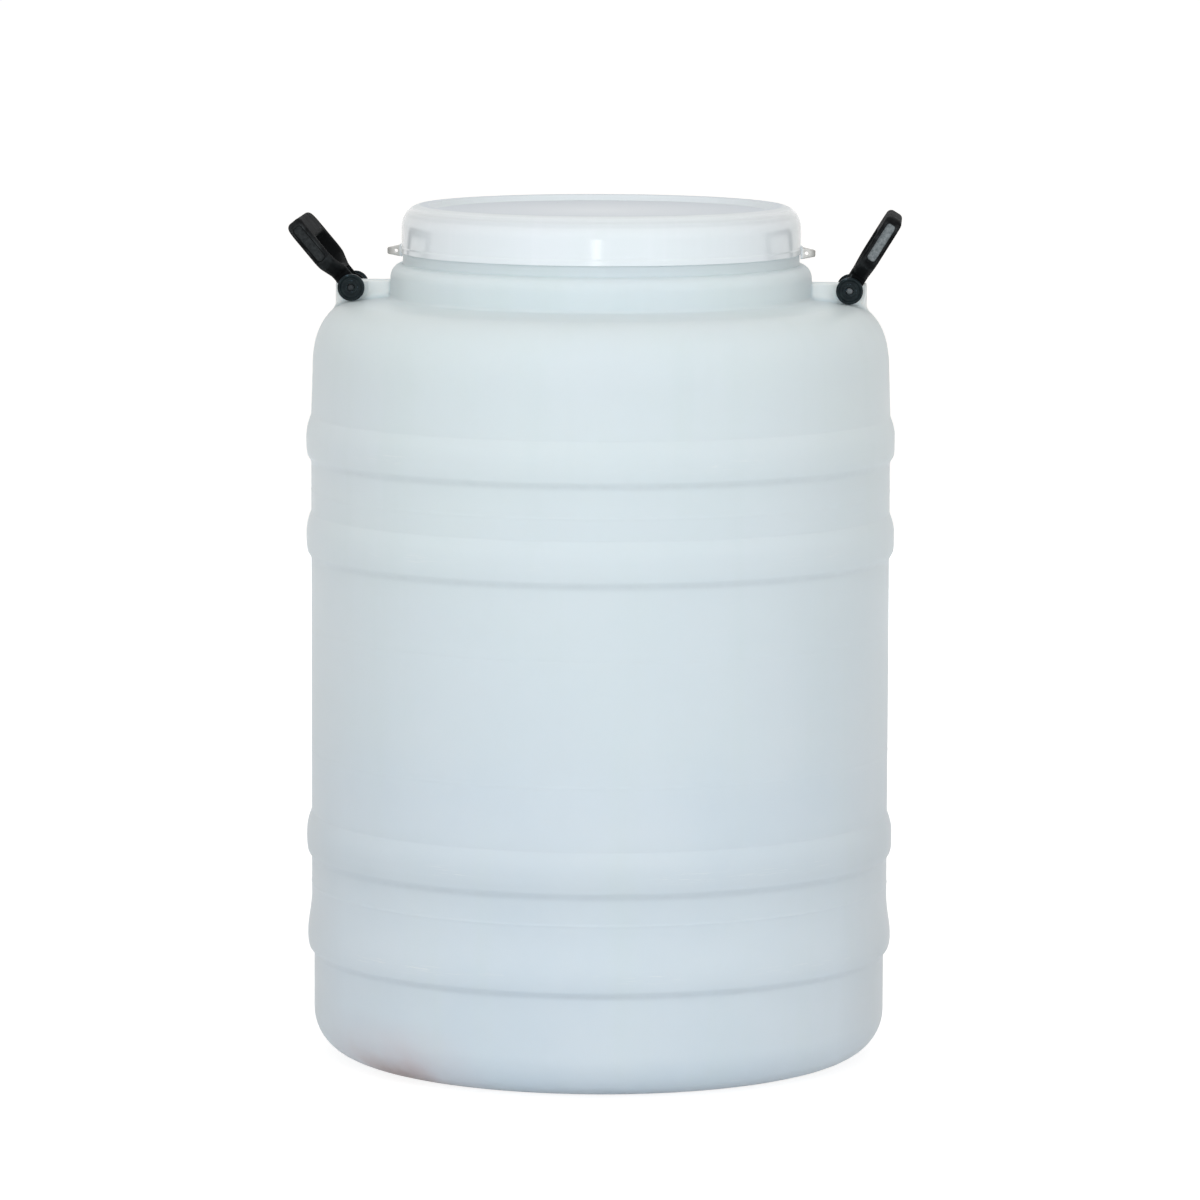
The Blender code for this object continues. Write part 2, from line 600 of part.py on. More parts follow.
def make_handle_mesh(cutters):
    """The moulded handle with its pivot at the origin, its loop in the YZ plane and its grip at +Z."""
    half = HANDLE_WIDTH / 2
    outer = rounded_loop(
        [
            (-TINE_OUTER, 0, 0),
            (TINE_OUTER, 0, 0),
            (TINE_OUTER, FORK_SHOULDER, FORK_FILLET),
            (half, LOOP_SHOULDER, LOOP_CORNER),
            (half, HANDLE_REACH, LOOP_CORNER),
            (-half, HANDLE_REACH, LOOP_CORNER),
            (-half, LOOP_SHOULDER, LOOP_CORNER),
            (-TINE_OUTER, FORK_SHOULDER, FORK_FILLET),
        ]
    )
    gap = GAP_WIDTH / 2
    gap_floor = GAP_FLOOR_WIDTH / 2
    corner = min(GAP_CORNER, (GAP_TOP - GAP_SIDE_BOTTOM) * GAP_CORNER_MAX_SHARE)
    opening = rounded_loop(
        [
            (-gap_floor, GAP_BOTTOM, 0),
            (gap_floor, GAP_BOTTOM, 0),
            (gap, GAP_SIDE_BOTTOM, corner),
            (gap, GAP_TOP, corner),
            (-gap, GAP_TOP, corner),
            (-gap, GAP_SIDE_BOTTOM, corner),
        ]
    )
    handle = plate(
        "handle_loop",
        [outer, opening],
        HANDLE_THICKNESS,
        FACING_SIDE,
        cutters,
        HANDLE_EDGE,
        HANDLE_EDGE_STEPS,
    )
    eye = rod("handle_eye", EYE_RADIUS, TINE_OUTER, (0, 0, 0), cutters)
    combine(handle, "UNION", eye)
    slot_bottom = -EYE_RADIUS - OVERRUN
    slot_loop = [
        (-TINE_INNER, slot_bottom),
        (TINE_INNER, slot_bottom),
        (TINE_INNER, CROTCH),
        (-TINE_INNER, CROTCH),
    ]
    slot_width = (EYE_RADIUS + OVERRUN) * 2
    combine(handle, "DIFFERENCE", plate("fork_slot", [slot_loop], slot_width, FACING_SIDE, cutters))
    bore = rod("handle_bore", HOLE_RADIUS, TINE_OUTER + OVERRUN, (0, 0, 0), cutters)
    combine(handle, "DIFFERENCE", bore)
    pocket_half = POCKET_WIDTH / 2
    pocket_bottom = (LOOP_SHOULDER + HANDLE_REACH - POCKET_LENGTH) / 2
    pocket_top = pocket_bottom + POCKET_LENGTH
    pocket_loop = rounded_loop(
        [
            (-pocket_half, pocket_bottom, POCKET_CORNER),
            (pocket_half, pocket_bottom, POCKET_CORNER),
            (pocket_half, pocket_top, POCKET_CORNER),
            (-pocket_half, pocket_top, POCKET_CORNER),
        ]
    )
    for name, sign in (("front", -1), ("rear", 1)):
        place = Matrix.Translation((0, sign * half, 0)) @ FACING_FRONT
        pocket = plate(name + "_pocket", [pocket_loop], POCKET_DEPTH * 2, place, cutters)
        combine(handle, "DIFFERENCE", pocket)
    return handle


def make_handles(parts, cutters, material):
    """Both handles, with their origins on their pivots, leaning outwards as photographed."""
    master = settle(make_handle_mesh(cutters), material)
    for name, sign, lean in (("left_handle", -1, LEFT_LEAN), ("right_handle", 1, RIGHT_LEAN)):
        handle = new_object(name, master.data.copy(), parts)
        handle.location = (sign * PIVOT_RADIUS, 0, PIVOT_HEIGHT)
        handle.rotation_euler = (0, sign * lean, 0)
    bpy.data.objects.remove(master)


def make_pins_and_caps(parts, pin_material, cap_material):
    """The pivot pins through the ears, and the round caps that hold the handles on them."""
    pin_outline = [
        (0, PIN_HALF_LENGTH),
        (PIN_RADIUS - PIN_CHAMFER, PIN_HALF_LENGTH),
        (PIN_RADIUS, PIN_HALF_LENGTH - PIN_CHAMFER),
        (PIN_RADIUS, PIN_CHAMFER - PIN_HALF_LENGTH),
        (PIN_RADIUS - PIN_CHAMFER, -PIN_HALF_LENGTH),
        (0, -PIN_HALF_LENGTH),
    ]
    rim_inner = CAP_RADIUS - CAP_BEVEL - CAP_RIM_WIDTH
    cap_outline = [
        (HOLE_RADIUS, CAP_OUTER),
        (rim_inner - CAP_RIM_HEIGHT, CAP_OUTER),
        (rim_inner, CAP_OUTER + CAP_RIM_HEIGHT),
        (CAP_RADIUS - CAP_BEVEL, CAP_OUTER + CAP_RIM_HEIGHT),
        (CAP_RADIUS, CAP_OUTER + CAP_RIM_HEIGHT - CAP_BEVEL),
        (CAP_RADIUS, CAP_INNER),
        (HOLE_RADIUS, CAP_INNER),
    ]
    for side, sign in (("left", -1), ("right", 1)):
        place = (sign * PIVOT_RADIUS, 0, PIVOT_HEIGHT)
        pin = turned(side + "_pivot_pin", pin_outline, parts, SMALL_TURN_STEPS)
        settle(pin, pin_material)
        pin.location = place
        pin.rotation_euler = (math.pi / 2, 0, 0)
        for end, tip in (("front", 1), ("rear", -1)):
            cap = turned(f"{side}_{end}_cap", cap_outline, parts, SMALL_TURN_STEPS, ring=True)
            settle(cap, cap_material)
            cap.location = place
            cap.rotation_euler = (tip * math.pi / 2, 0, 0)


def main():
    """Builds the barrel."""
    clear_scene()
    parts = new_collection("storage_barrel")
    cutters = new_collection("cutters")
    body_plastic = new_material("body_plastic", BODY_COLOUR, BODY_ROUGHNESS)
    lid_plastic = new_material("lid_plastic", LID_COLOUR, LID_ROUGHNESS)
    gasket_rubber = new_material("gasket_rubber", GASKET_COLOUR, GASKET_ROUGHNESS)
    handle_plastic = new_material("handle_plastic", HANDLE_COLOUR, HANDLE_ROUGHNESS)
    cap_plastic = new_material("cap_plastic", CAP_COLOUR, CAP_ROUGHNESS)
    pin_steel = new_material("pin_steel", PIN_COLOUR, PIN_ROUGHNESS, 1)
    make_body(parts, cutters, body_plastic)
    make_lid(parts, cutters, lid_plastic)
    make_gasket(parts, gasket_rubber)
    make_handles(parts, cutters, handle_plastic)
    make_pins_and_caps(parts, pin_steel, cap_plastic)


main()
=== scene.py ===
import math

import bmesh
import bpy
from mathutils import Matrix, Vector


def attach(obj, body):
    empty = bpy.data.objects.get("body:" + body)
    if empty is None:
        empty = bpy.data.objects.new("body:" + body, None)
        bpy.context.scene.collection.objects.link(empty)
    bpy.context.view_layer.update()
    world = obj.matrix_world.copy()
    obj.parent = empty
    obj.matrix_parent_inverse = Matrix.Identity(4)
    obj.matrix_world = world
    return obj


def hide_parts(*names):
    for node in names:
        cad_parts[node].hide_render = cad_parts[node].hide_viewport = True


# The storage barrel as it looks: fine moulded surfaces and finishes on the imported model, in a plain studio.
# Lengths are in metres and match the solids that they stand for.
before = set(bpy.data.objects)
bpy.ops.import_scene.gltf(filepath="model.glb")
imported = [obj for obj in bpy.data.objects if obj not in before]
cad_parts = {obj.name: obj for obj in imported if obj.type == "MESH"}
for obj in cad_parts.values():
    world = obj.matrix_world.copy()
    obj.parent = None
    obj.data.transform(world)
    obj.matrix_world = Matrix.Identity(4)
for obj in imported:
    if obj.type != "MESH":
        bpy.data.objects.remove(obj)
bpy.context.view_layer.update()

# How finely round shapes are divided
BODY_STEPS = 192
SMALL_STEPS = 64
SMOOTH_ANGLE = math.radians(35)
WELD = 0.000002
OVERRUN = 0.004

# Body shell
WALL = 0.003
BODY_RADIUS = 0.1964
SHOULDER_RADIUS = 0.1954
SHOULDER_TOP = 0.5157
SHOULDER_SLOPE_DROP = 0.0024
SHOULDER_BEND_RADIUS = 0.165
SHOULDER_BEND_DROP = 0.0463
SHOULDER_POWER = 2.5
BASE_RADIUS = 0.1948
BASE_CORNER = 0.0294
FOOT_INNER_RADIUS = 0.150
FOOT_SLOPE = 0.008
BASE_RISE = 0.005
PARTING_HEIGHT = 0.00018
PARTING_HALF_ANGLE = 0.0022

# Hoops: three equal ones, from the top one down, and the lowest one
HOOP_MIDDLES = (0.420, 0.3545, 0.1495)
HOOP_HALF_HEIGHT = 0.017
HOOP_RISE = 0.0033
HOOP_STEPS = 24
HOOP_UPPER_POWERS = (2.6, 1.25)
HOOP_CREASE_SHARES = (0.58, 0.97)
BASE_HOOP_CREST = 0.0828
BASE_HOOP_ABOVE = 0.0272
BASE_HOOP_BELOW = 0.0160
BASE_HOOP_RISE = 0.0027
BASE_HOOP_UPPER_POWER = 0.85
BASE_HOOP_CREASE_SHARES = (0.58, 0.99)
# Faint rings left by the mould: (height, how far they stand out)
MOULD_RINGS = ((0.3860, 0.00016), (0.2918, -0.00012), (0.2086, 0.00012), (0.1173, 0.00030))
MOULD_RING_WIDTH = 0.0009
# Where a mould line's points lie across it
MOULD_LINE_SHARES = (-2, -1, -0.5, 0, 0.5, 1, 2)

# Neck
NECK_RADIUS = 0.1284
NECK_WALL = 0.0034
RIM_TOP = 0.5727
RIM_ROUND = 0.0009
RING_RADIUS = 0.1343
RING_TOP = 0.5464
COLLAR_RADIUS = 0.1427
COLLAR_TOP = 0.539
COLLAR_BEND = 0.0095
COLLAR_BEND_START = 75
COLLAR_CREASE = 0.003
SMALL_ROUND = 0.0007
TINY_ROUND = 0.00015

# Screw thread
THREAD_LEAD = 0.009
THREAD_TURNS = 1.5
THREAD_HEIGHT = 0.0035
THREAD_ROOT_WIDTH = 0.0052
THREAD_CREST_WIDTH = 0.0034
THREAD_SINK = 0.0008
THREAD_START = 0.5534
THREAD_FADE_SHARE = 0.07
THREAD_END_SHARE = 0.12

# Lid
LID_TOP = 0.5786
LID_BOTTOM = 0.5465
LID_RADIUS = 0.1355
LID_WALL = 0.0025
LID_TOP_WALL = 0.0028
LID_CORNER = (0.0135, 0.0156)
LID_RECESS_RADIUS = 0.1165
LID_RECESS_SLOPE = 0.0022
LID_RECESS_DEPTH = 0.004
LID_LIP_HEIGHT = 0.0036
LID_LIP_STEP = 0.0003
LUG_REACH = 0.0095
LUG_ROOT_HEIGHT = 0.0078
LUG_TIP_HEIGHT = 0.0042
LUG_DROP = 0.0036
LUG_HALF_WIDTH = 0.003
LUG_HOLE_RADIUS = 0.0013
LUG_HOLE_REACH = 0.0036
GASKET_RADII = (0.122, 0.1272)
GASKET_HEIGHTS = (0.5730, 0.5755)

# Ears
PIVOT_RADIUS = 0.1685
PIVOT_HEIGHT = 0.5226
EAR_TOP = 0.5270
EAR_END_RADIUS = 0.1800
EAR_HALF_THICKNESS = 0.0077
EAR_EDGE = 0.0016
EAR_CORNER = 0.0030
EAR_FILLET = 0.0034
EAR_SINK = 0.0015
BOSS_RADIUS = 0.0113
BOSS_HALF_THICKNESS = 0.0085
BOSS_EDGE = 0.0004

# Handles, measured from the pivot
HANDLE_REACH = 0.059
HANDLE_HALF_WIDTH = 0.043
HANDLE_THICKNESS = 0.0115
HANDLE_EDGE = 0.0034
LOOP_CORNER = 0.0105
LOOP_SHOULDER = 0.022
FORK_SHOULDER = 0.0116
FORK_FILLET = 0.002
GAP_TOP = 0.042
GAP_BOTTOM = 0.0174
GAP_SIDE_BOTTOM = 0.0252
GAP_HALF_WIDTH = 0.033
GAP_FLOOR_HALF_WIDTH = 0.012
GAP_CORNER = 0.0075
TINE_INNER = 0.009
TINE_OUTER = 0.015
CROTCH = 0.01291
EYE_RADIUS = 0.0075
HOLE_RADIUS = 0.0025
POCKET_MIDDLE = 0.0405
POCKET_LENGTH = 0.029
POCKET_WIDTH = 0.0072
POCKET_DEPTH = 0.0028
POCKET_CORNER = 0.0026
POCKET_CHAMFER = 0.0006
LEFT_LEAN = math.radians(40)
RIGHT_LEAN = math.radians(31.7)

# Pins and caps
PIN_RADIUS = 0.0022
PIN_HALF_LENGTH = 0.0190
CAP_RADIUS = 0.0091
CAP_INNER = 0.0153
CAP_OUTER = 0.0179
PIN_DOME = 0.0006
PIN_DOME_START = 75
CAP_RIM_WIDTH = 0.0016
CAP_RIM_HEIGHT = 0.0007
CAP_ROUND = 0.0004

# How many points the longer curves take
COLLAR_STEPS = 8
SHOULDER_STEPS = 28
BASE_CORNER_STEPS = 14
LID_CORNER_STEPS = 20
EAR_SIDE_STEPS = 12
EAR_CORNER_STEPS = 6
EAR_EDGE_STEPS = 4
EAR_FILLET_STEPS = 6
HANDLE_CORNER_STEPS = 10
HANDLE_EDGE_STEPS = 5

# Heights over which the body's plastic turns warmer and lighter upward, with the share of each span; the
# darker low colour is partly painted shade
BODY_TINT_AND_SHADE_SPANS = ((0.02, 0.20, 0.10), (0.195, 0.235, 0.35), (0.235, 0.50, 0.55))
# Where dirt and painted shade gather in the creases under the hoops
BODY_CREASES = (0.4068, 0.3413, 0.1363, 0.0702)
BODY_CREASE_WIDTH = 0.0025
# The low flanks' painted shade, greyer at +X and -X: from where they start to the widest place, and from full
# to none
FLANK_WIDTHS = (BODY_RADIUS * 0.84, BODY_RADIUS)
FLANK_HEIGHTS = (0.04, 0.30)
FLANK_SHARE = 0.3
# Where the lid's recess floor goes from its middle colour to its darker edge colour, and how many flow rays
# turn round it
LID_FLOOR_FADE_RADII = (0.01, LID_RECESS_RADIUS * 0.85)
LID_RAYS = 90
# Where the base corner gets a painted reddish reflection
BODY_CORNER_REFLECTION_PLACE = (-0.130, -0.130, 0.008)


def display(red, green, blue):
    """A colour given as it shows on a display, 0 to 255, for a shader."""
    linear = []
    for value in (red, green, blue):
        share = value / 255
        linear.append(share / 12.92 if share <= 0.04045 else ((share + 0.055) / 1.055) ** 2.4)
    return (*linear, 1)


BODY_HIGH_COLOUR = display(217, 229, 232)
BODY_LOW_TINT_AND_SHADE_COLOUR = display(208, 221, 231)
BODY_CLOUD_COLOUR = display(217, 227, 235)
BODY_STREAK_COLOUR = display(207, 222, 222)
BODY_DIRT_AND_SHADE_COLOUR = display(168, 176, 178)
BODY_SCUFF_COLOUR = display(232, 238, 240)
BODY_EAR_GLOW_COLOUR = display(242, 248, 248)
BODY_CORNER_REFLECTION_COLOUR = display(164, 146, 144)
BODY_CORNER_REFLECTION_EDGE_COLOUR = display(202, 184, 184)
BODY_FLANK_SHADE_COLOUR = display(168, 166, 158)
# The painted reflection's soft edge and its middle: distances and heights from full to none, the share, and
# the colour
BODY_CORNER_REFLECTIONS = (
    ((0.025, 0.085), (0.012, BASE_CORNER * 1.6), 0.60, BODY_CORNER_REFLECTION_EDGE_COLOUR),
    ((0.010, 0.042), (0.004, BASE_CORNER * 0.65), 0.80, BODY_CORNER_REFLECTION_COLOUR),
)
LID_COLOUR = display(230, 236, 241)
LID_CLOUD_COLOUR = display(228, 236, 239)
LID_RAY_COLOUR = display(237, 241, 247)
LID_RUB_COLOUR = display(206, 212, 217)
LID_DULL_COLOUR = display(228, 235, 242)
LID_FLOOR_EDGE_COLOUR = display(214, 222, 230)
LUG_SHADE_COLOUR = display(206, 204, 200)
LUG_TIP_SHADE_COLOUR = display(150, 148, 144)
GASKET_COLOUR = display(192, 192, 189)
GASKET_BLOOM_COLOUR = display(208, 208, 206)
HANDLE_COLOUR = display(17, 18, 19)
HANDLE_SMEAR_COLOUR = display(27, 29, 30)
HANDLE_WORN_COLOUR = display(86, 90, 92)
POCKET_LIT_COLOUR = display(104, 111, 114)
POCKET_LIT_GRIT_COLOUR = display(150, 156, 158)
# How much each handle's pocket floors are painted grey as painted light: lit on the right, in shade on the
# left
POCKET_LIGHT_SHARES = {"left_handle": 0.12, "right_handle": 1}
CAP_COLOUR = display(23, 31, 34)
CAP_SMEAR_COLOUR = display(35, 44, 46)
CAP_WORN_SHEEN_COLOUR = display(84, 102, 114)
PIN_COLOUR = display(112, 118, 122)
PIN_STAIN_COLOUR = display(84, 87, 88)
PIN_SHADE_COLOUR = display(38, 42, 45)
# How much each pin is darkened as painted shade
PIN_SHADE_SHARES = {"left": 0.8, "right": 0}

# Studio
FLOOR_RADIUS = 40
FLOOR_GAP = 0.0002
FLOOR_BOUNCE_COLOUR = (0.74, 0.76, 0.79)
FLOOR_SHADOW_SHARE = 0.30
AMBIENT_COLOUR = (1.035, 0.965, 0.895)
AMBIENT_STRENGTH = 0.595
LAMP_COLOUR = (0.935, 1.02, 1.085)
# Each lamp's name, azimuth, elevation, distance, size, watts, colour and whether it shows in reflections
LAMPS = (
    ("front_strip", 0.4, 3.3, 3.2, (0.24, 0.55), 3.2, (1, 1, 1), True),
    ("left_box", -26, 14, 3.0, (1.4, 1.4), 16, LAMP_COLOUR, False),
    ("right_box", 31, 12, 3.0, (1.4, 1.4), 16.3, LAMP_COLOUR, False),
    ("top_box", 0, 66, 3.0, (1.6, 1.6), 13, LAMP_COLOUR, False),
    ("back_box", 180, 14, 3.0, (1.5, 1.4), 29, LAMP_COLOUR, False),
)
PHOTO_SIZE = 1200
CAMERA_FOCAL_PIXELS = 6652
CAMERA_SENSOR_MM = 36
CAMERA_CLIP = (0.1, 100)
CAMERA_DISTANCE = 4.5
CAMERA_HEIGHT = 0.857
CAMERA_PITCH = 6.94
CAMERA_AZIMUTH = 2.97
CAMERA_ROLL = 0.2


def rounded_path(corners, closed=False, steps=6):
    """Points along straight runs through (x, y, radius) corners, each corner turned with its radius."""
    points = []
    count = len(corners)
    for index, (x, y, radius) in enumerate(corners):
        at_end = not closed and index in (0, count - 1)
        if at_end or not radius:
            points.append((x, y))
            continue
        here = Vector((x, y))
        before = (Vector(corners[index - 1][:2]) - here).normalized()
        after = (Vector(corners[(index + 1) % count][:2]) - here).normalized()
        half = before.angle(after) / 2
        centre = here + (before + after).normalized() * (radius / math.sin(half))
        spoke = here + before * (radius / math.tan(half)) - centre
        turn = math.copysign(math.pi - half * 2, after.cross(before))
        for step in range(steps + 1):
            points.append(tuple(centre + Matrix.Rotation(turn * step / steps, 2) @ spoke))
    return points


def mirrored(corners):
    """A closed outline through corners at the right, from the bottom up, and their mirror images."""
    left = [(-x, y, radius) for x, y, radius in reversed(corners)]
    return left[-1:] + corners + left[:-1]


def arc(centre, radii, start, end, steps):
    """Points of an elliptical arc between two angles, in degrees."""
    points = []
    for step in range(steps + 1):
        angle = math.radians(start + (end - start) * step / steps)
        points.append((centre[0] + radii[0] * math.cos(angle), centre[1] + radii[1] * math.sin(angle)))
    return points


def ease(value):
    """0 to 1 along a smooth step."""
    share = min(max(value, 0), 1)
    return share * share * (3 - 2 * share)


def add_object(name, data):
    """A new object with this data in the scene."""
    obj = bpy.data.objects.new(name, data)
    bpy.context.scene.collection.objects.link(obj)
    return obj


def written_mesh(name, work):
    """A new mesh of what was built, which is then set free."""
    mesh = bpy.data.meshes.new(name)
    work.to_mesh(mesh)
    work.free()
    return mesh


def lathe(name, outline, angles, ring=False):
    """A closed solid turned round Z, with poles where the radius is 0. A ring's outline closes on itself."""
    work = bmesh.new()
    rows = []
    for radius, height in outline:
        if radius < WELD:
            rows.append([work.verts.new((0, 0, height))] * len(angles))
        else:
            rows.append([
                work.verts.new((radius * math.cos(angle), radius * math.sin(angle), height))
                for angle in angles
            ])
    pairs = list(zip(rows, rows[1:]))
    if ring:
        pairs.append((rows[-1], rows[0]))
    for upper, lower in pairs:
        for index in range(len(angles)):
            following = (index + 1) % len(angles)
            face = list(dict.fromkeys([upper[index], lower[index], lower[following], upper[following]]))
            if len(face) > 2:
                work.faces.new(face)
    bmesh.ops.recalc_face_normals(work, faces=work.faces)
    return add_object(name, written_mesh(name, work))


def even_angles(steps):
    """The angles of one turn in even steps."""
    return [math.tau * step / steps for step in range(steps)]


def loft(name, loops):
    """A closed solid through loops of as many points each, with flat ends."""
    work = bmesh.new()
    rings = [[work.verts.new(point) for point in loop] for loop in loops]
    for ring, later in zip(rings, rings[1:]):
        for index in range(len(ring)):
            following = (index + 1) % len(ring)
            work.faces.new([ring[index], ring[following], later[following], later[index]])
    work.faces.new(rings[0])
    work.faces.new(list(reversed(rings[-1])))
    bmesh.ops.recalc_face_normals(work, faces=work.faces)
    return add_object(name, written_mesh(name, work))


def plate(name, outlines, thickness, turn, edge=0, edge_steps=1):
    """A flat piece with rounded edges: the first outline is its border and the others are holes."""
    curve = bpy.data.curves.new(name, "CURVE")
    curve.dimensions = "2D"
    curve.fill_mode = "BOTH"
    curve.extrude = thickness / 2 - edge
    curve.bevel_depth = edge
    curve.offset = -edge
    curve.bevel_resolution = edge_steps
    for outline in outlines:
        spline = curve.splines.new("POLY")
        spline.points.add(len(outline) - 1)
        for point, (x, y) in zip(spline.points, outline):
            point.co = (x, y, 0, 1)
        spline.use_cyclic_u = True
    drawn = add_object(name, curve)
    mesh = settled_mesh(drawn)
    mesh.transform(turn)
    bpy.data.objects.remove(drawn)
    return add_object(name, mesh)


def rod(name, radius, half_length, centre, steps=SMALL_STEPS):
    """A cylinder along Y, for joining or cutting."""
    work = bmesh.new()
    bmesh.ops.create_cone(
        work, cap_ends=True, segments=steps, radius1=radius, radius2=radius, depth=half_length * 2
    )
    mesh = written_mesh(name, work)
    mesh.transform(Matrix.Translation(centre) @ Matrix.Rotation(math.pi / 2, 4, "X"))
    return add_object(name, mesh)


def settled_mesh(obj):
    """The mesh that an object's modifiers or curve settings make, with coincident points joined."""
    bpy.context.view_layer.update()
    graph = bpy.context.evaluated_depsgraph_get()
    mesh = bpy.data.meshes.new_from_object(obj.evaluated_get(graph))
    work = bmesh.new()
    work.from_mesh(mesh)
    bmesh.ops.remove_doubles(work, verts=work.verts, dist=WELD)
    bmesh.ops.recalc_face_normals(work, faces=work.faces)
    work.to_mesh(mesh)
    work.free()
    mesh.name = obj.name
    return mesh


def combine(obj, operation, others):
    """Joins other meshes to an object or cuts them away, and removes them."""
    for other in others:
        modifier = obj.modifiers.new(other.name, "BOOLEAN")
        modifier.operation = operation
        modifier.object = other
        modifier.solver = "EXACT"
    mesh = settled_mesh(obj)
    obj.modifiers.clear()
    obj.data = mesh
    for other in others:
        bpy.data.objects.remove(other)


def mark_points(obj, name, value_at):
    """Gives each point of a piece a value that its paint reads."""
    marks = obj.data.attributes.new(name, "FLOAT", "POINT")
    for vertex in obj.data.vertices:
        marks.data[vertex.index].value = value_at(*vertex.co)


def finish_piece(obj, body, nodes, material):
    """Shades a piece smooth but for its sharp edges, paints it, attaches it to its body and hides the parts
    that it stands for.
    """
    obj.data.shade_smooth()
    obj.data.set_sharp_from_angle(angle=SMOOTH_ANGLE)
    weighted = obj.modifiers.new("Even shading", "WEIGHTED_NORMAL")
    weighted.keep_sharp = True
    obj.data.materials.clear()
    obj.data.materials.append(material)
    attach(obj, body)
    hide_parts(*nodes)


FACING_FRONT = Matrix.Rotation(math.pi / 2, 4, "X")
FACING_SIDE = Matrix(((0, 0, 1, 0), (1, 0, 0, 0), (0, 1, 0, 0), (0, 0, 0, 1)))
# Each side's name, its sign along X and its turn from +X
SIDES = (("right", 1, Matrix()), ("left", -1, Matrix.Rotation(math.pi, 4, "Z")))


def shoulder_fall(out):
    """How far down the shoulder's bend is, as a share, where it has gone this share of the way out."""
    return 1 - (1 - out * out) ** (1 / SHOULDER_POWER)


def shoulder_height(radius):
    """The height of the shoulder's outer surface at a radius."""
    crease_end = COLLAR_RADIUS + COLLAR_CREASE
    if radius <= crease_end:
        along = min(crease_end - radius, COLLAR_CREASE)
        return SHOULDER_TOP + COLLAR_CREASE - math.sqrt(COLLAR_CREASE**2 - along**2)
    if radius <= SHOULDER_BEND_RADIUS:
        share = (radius - crease_end) / (SHOULDER_BEND_RADIUS - crease_end)
        return SHOULDER_TOP - SHOULDER_SLOPE_DROP * share
    out = (radius - SHOULDER_BEND_RADIUS) / (SHOULDER_RADIUS - SHOULDER_BEND_RADIUS)
    return SHOULDER_TOP - SHOULDER_SLOPE_DROP - SHOULDER_BEND_DROP * shoulder_fall(min(out, 1))


def lower_rise(share, crease_shares):
    """How far a hoop stands out from its middle (0) down to its bottom edge (1), with a sharp crease."""
    start, end = crease_shares
    return (1 - share**3) * (1 - ease((share - start) / (end - start)))


def hoop_rise(share):
    """How far an equal hoop stands out, as a share: 1 is its top edge, -1 its bottom edge."""
    if share < 0:
        return lower_rise(-share, HOOP_CREASE_SHARES)
    inner_power, outer_power = HOOP_UPPER_POWERS
    return (1 - share**inner_power) ** outer_power


def body_side(inset):
    """The body's side from under the shoulder to above the base corner, as (radius, height) points."""
    points = []
    for middle in HOOP_MIDDLES:
        for step in range(HOOP_STEPS * 2 + 1):
            share = 1 - step / HOOP_STEPS
            radius = BODY_RADIUS - inset + HOOP_RISE * hoop_rise(share)
            points.append((radius, middle + HOOP_HALF_HEIGHT * share))
    for step in range(HOOP_STEPS + 1):
        share = 1 - step / HOOP_STEPS
        out = (1 + math.cos(math.pi * share**BASE_HOOP_UPPER_POWER)) / 2
        height = BASE_HOOP_CREST + BASE_HOOP_ABOVE * share
        points.append((BODY_RADIUS - inset + BASE_HOOP_RISE * out, height))
    step_back = BODY_RADIUS + BASE_HOOP_RISE - BASE_RADIUS
    for step in range(1, HOOP_STEPS + 1):
        share = step / HOOP_STEPS
        out = lower_rise(share, BASE_HOOP_CREASE_SHARES)
        points.append((BASE_RADIUS - inset + step_back * out, BASE_HOOP_CREST - BASE_HOOP_BELOW * share))
    return points


def with_mould_rings(points):
    """Adds the mould's faint rings to a side outline, with enough points to carry them."""
    heights = [middle + MOULD_RING_WIDTH * share for middle, _ in MOULD_RINGS for share in MOULD_LINE_SHARES]
    dense = list(points)
    for height in heights:
        for (upper_r, upper_z), (lower_r, lower_z) in zip(points, points[1:]):
            if lower_z < height < upper_z:
                share = (upper_z - height) / (upper_z - lower_z)
                dense.append((upper_r + (lower_r - upper_r) * share, height))
                break
    dense.sort(key=lambda point: -point[1])
    raised = []
    for radius, height in dense:
        for ring_height, rise in MOULD_RINGS:
            radius += rise * math.exp(-(((height - ring_height) / MOULD_RING_WIDTH) ** 2))
        raised.append((radius, height))
    return raised


def shell_outline(inset, bend_start):
    """The body from the neck's ring to the middle of the base, outside or with an inset."""
    bend = COLLAR_RADIUS - RING_RADIUS
    bend_centre = (RING_RADIUS - inset, COLLAR_TOP - COLLAR_BEND)
    points = arc(bend_centre, (bend, COLLAR_BEND - inset), bend_start, 0, COLLAR_STEPS)
    crease = COLLAR_CREASE + inset
    crease_centre = (COLLAR_RADIUS + COLLAR_CREASE, SHOULDER_TOP + COLLAR_CREASE)
    points += arc(crease_centre, (crease, crease), 180, 270, COLLAR_STEPS)
    bend_top = SHOULDER_TOP - SHOULDER_SLOPE_DROP - inset
    reach = SHOULDER_RADIUS - inset - SHOULDER_BEND_RADIUS
    drop = SHOULDER_BEND_DROP - inset
    for step in range(SHOULDER_STEPS + 1):
        fall = (step / SHOULDER_STEPS) ** 2
        out = math.sqrt(1 - (1 - fall) ** SHOULDER_POWER)
        points.append((SHOULDER_BEND_RADIUS + reach * out, bend_top - drop * fall))
    side = body_side(inset)
    points += side if inset else with_mould_rings([points[-1]] + side)[1:]
    corner = BASE_CORNER - inset
    points += arc((BASE_RADIUS - BASE_CORNER, BASE_CORNER), (corner, corner), 0, -90, BASE_CORNER_STEPS)
    foot = [
        (BASE_RADIUS - BASE_CORNER - SMALL_ROUND, inset, 0),
        (FOOT_INNER_RADIUS, inset, SMALL_ROUND * 2),
        (FOOT_INNER_RADIUS - FOOT_SLOPE, inset + BASE_RISE, SMALL_ROUND * 3),
        (0, inset + BASE_RISE, 0),
    ]
    return points + rounded_path(foot)


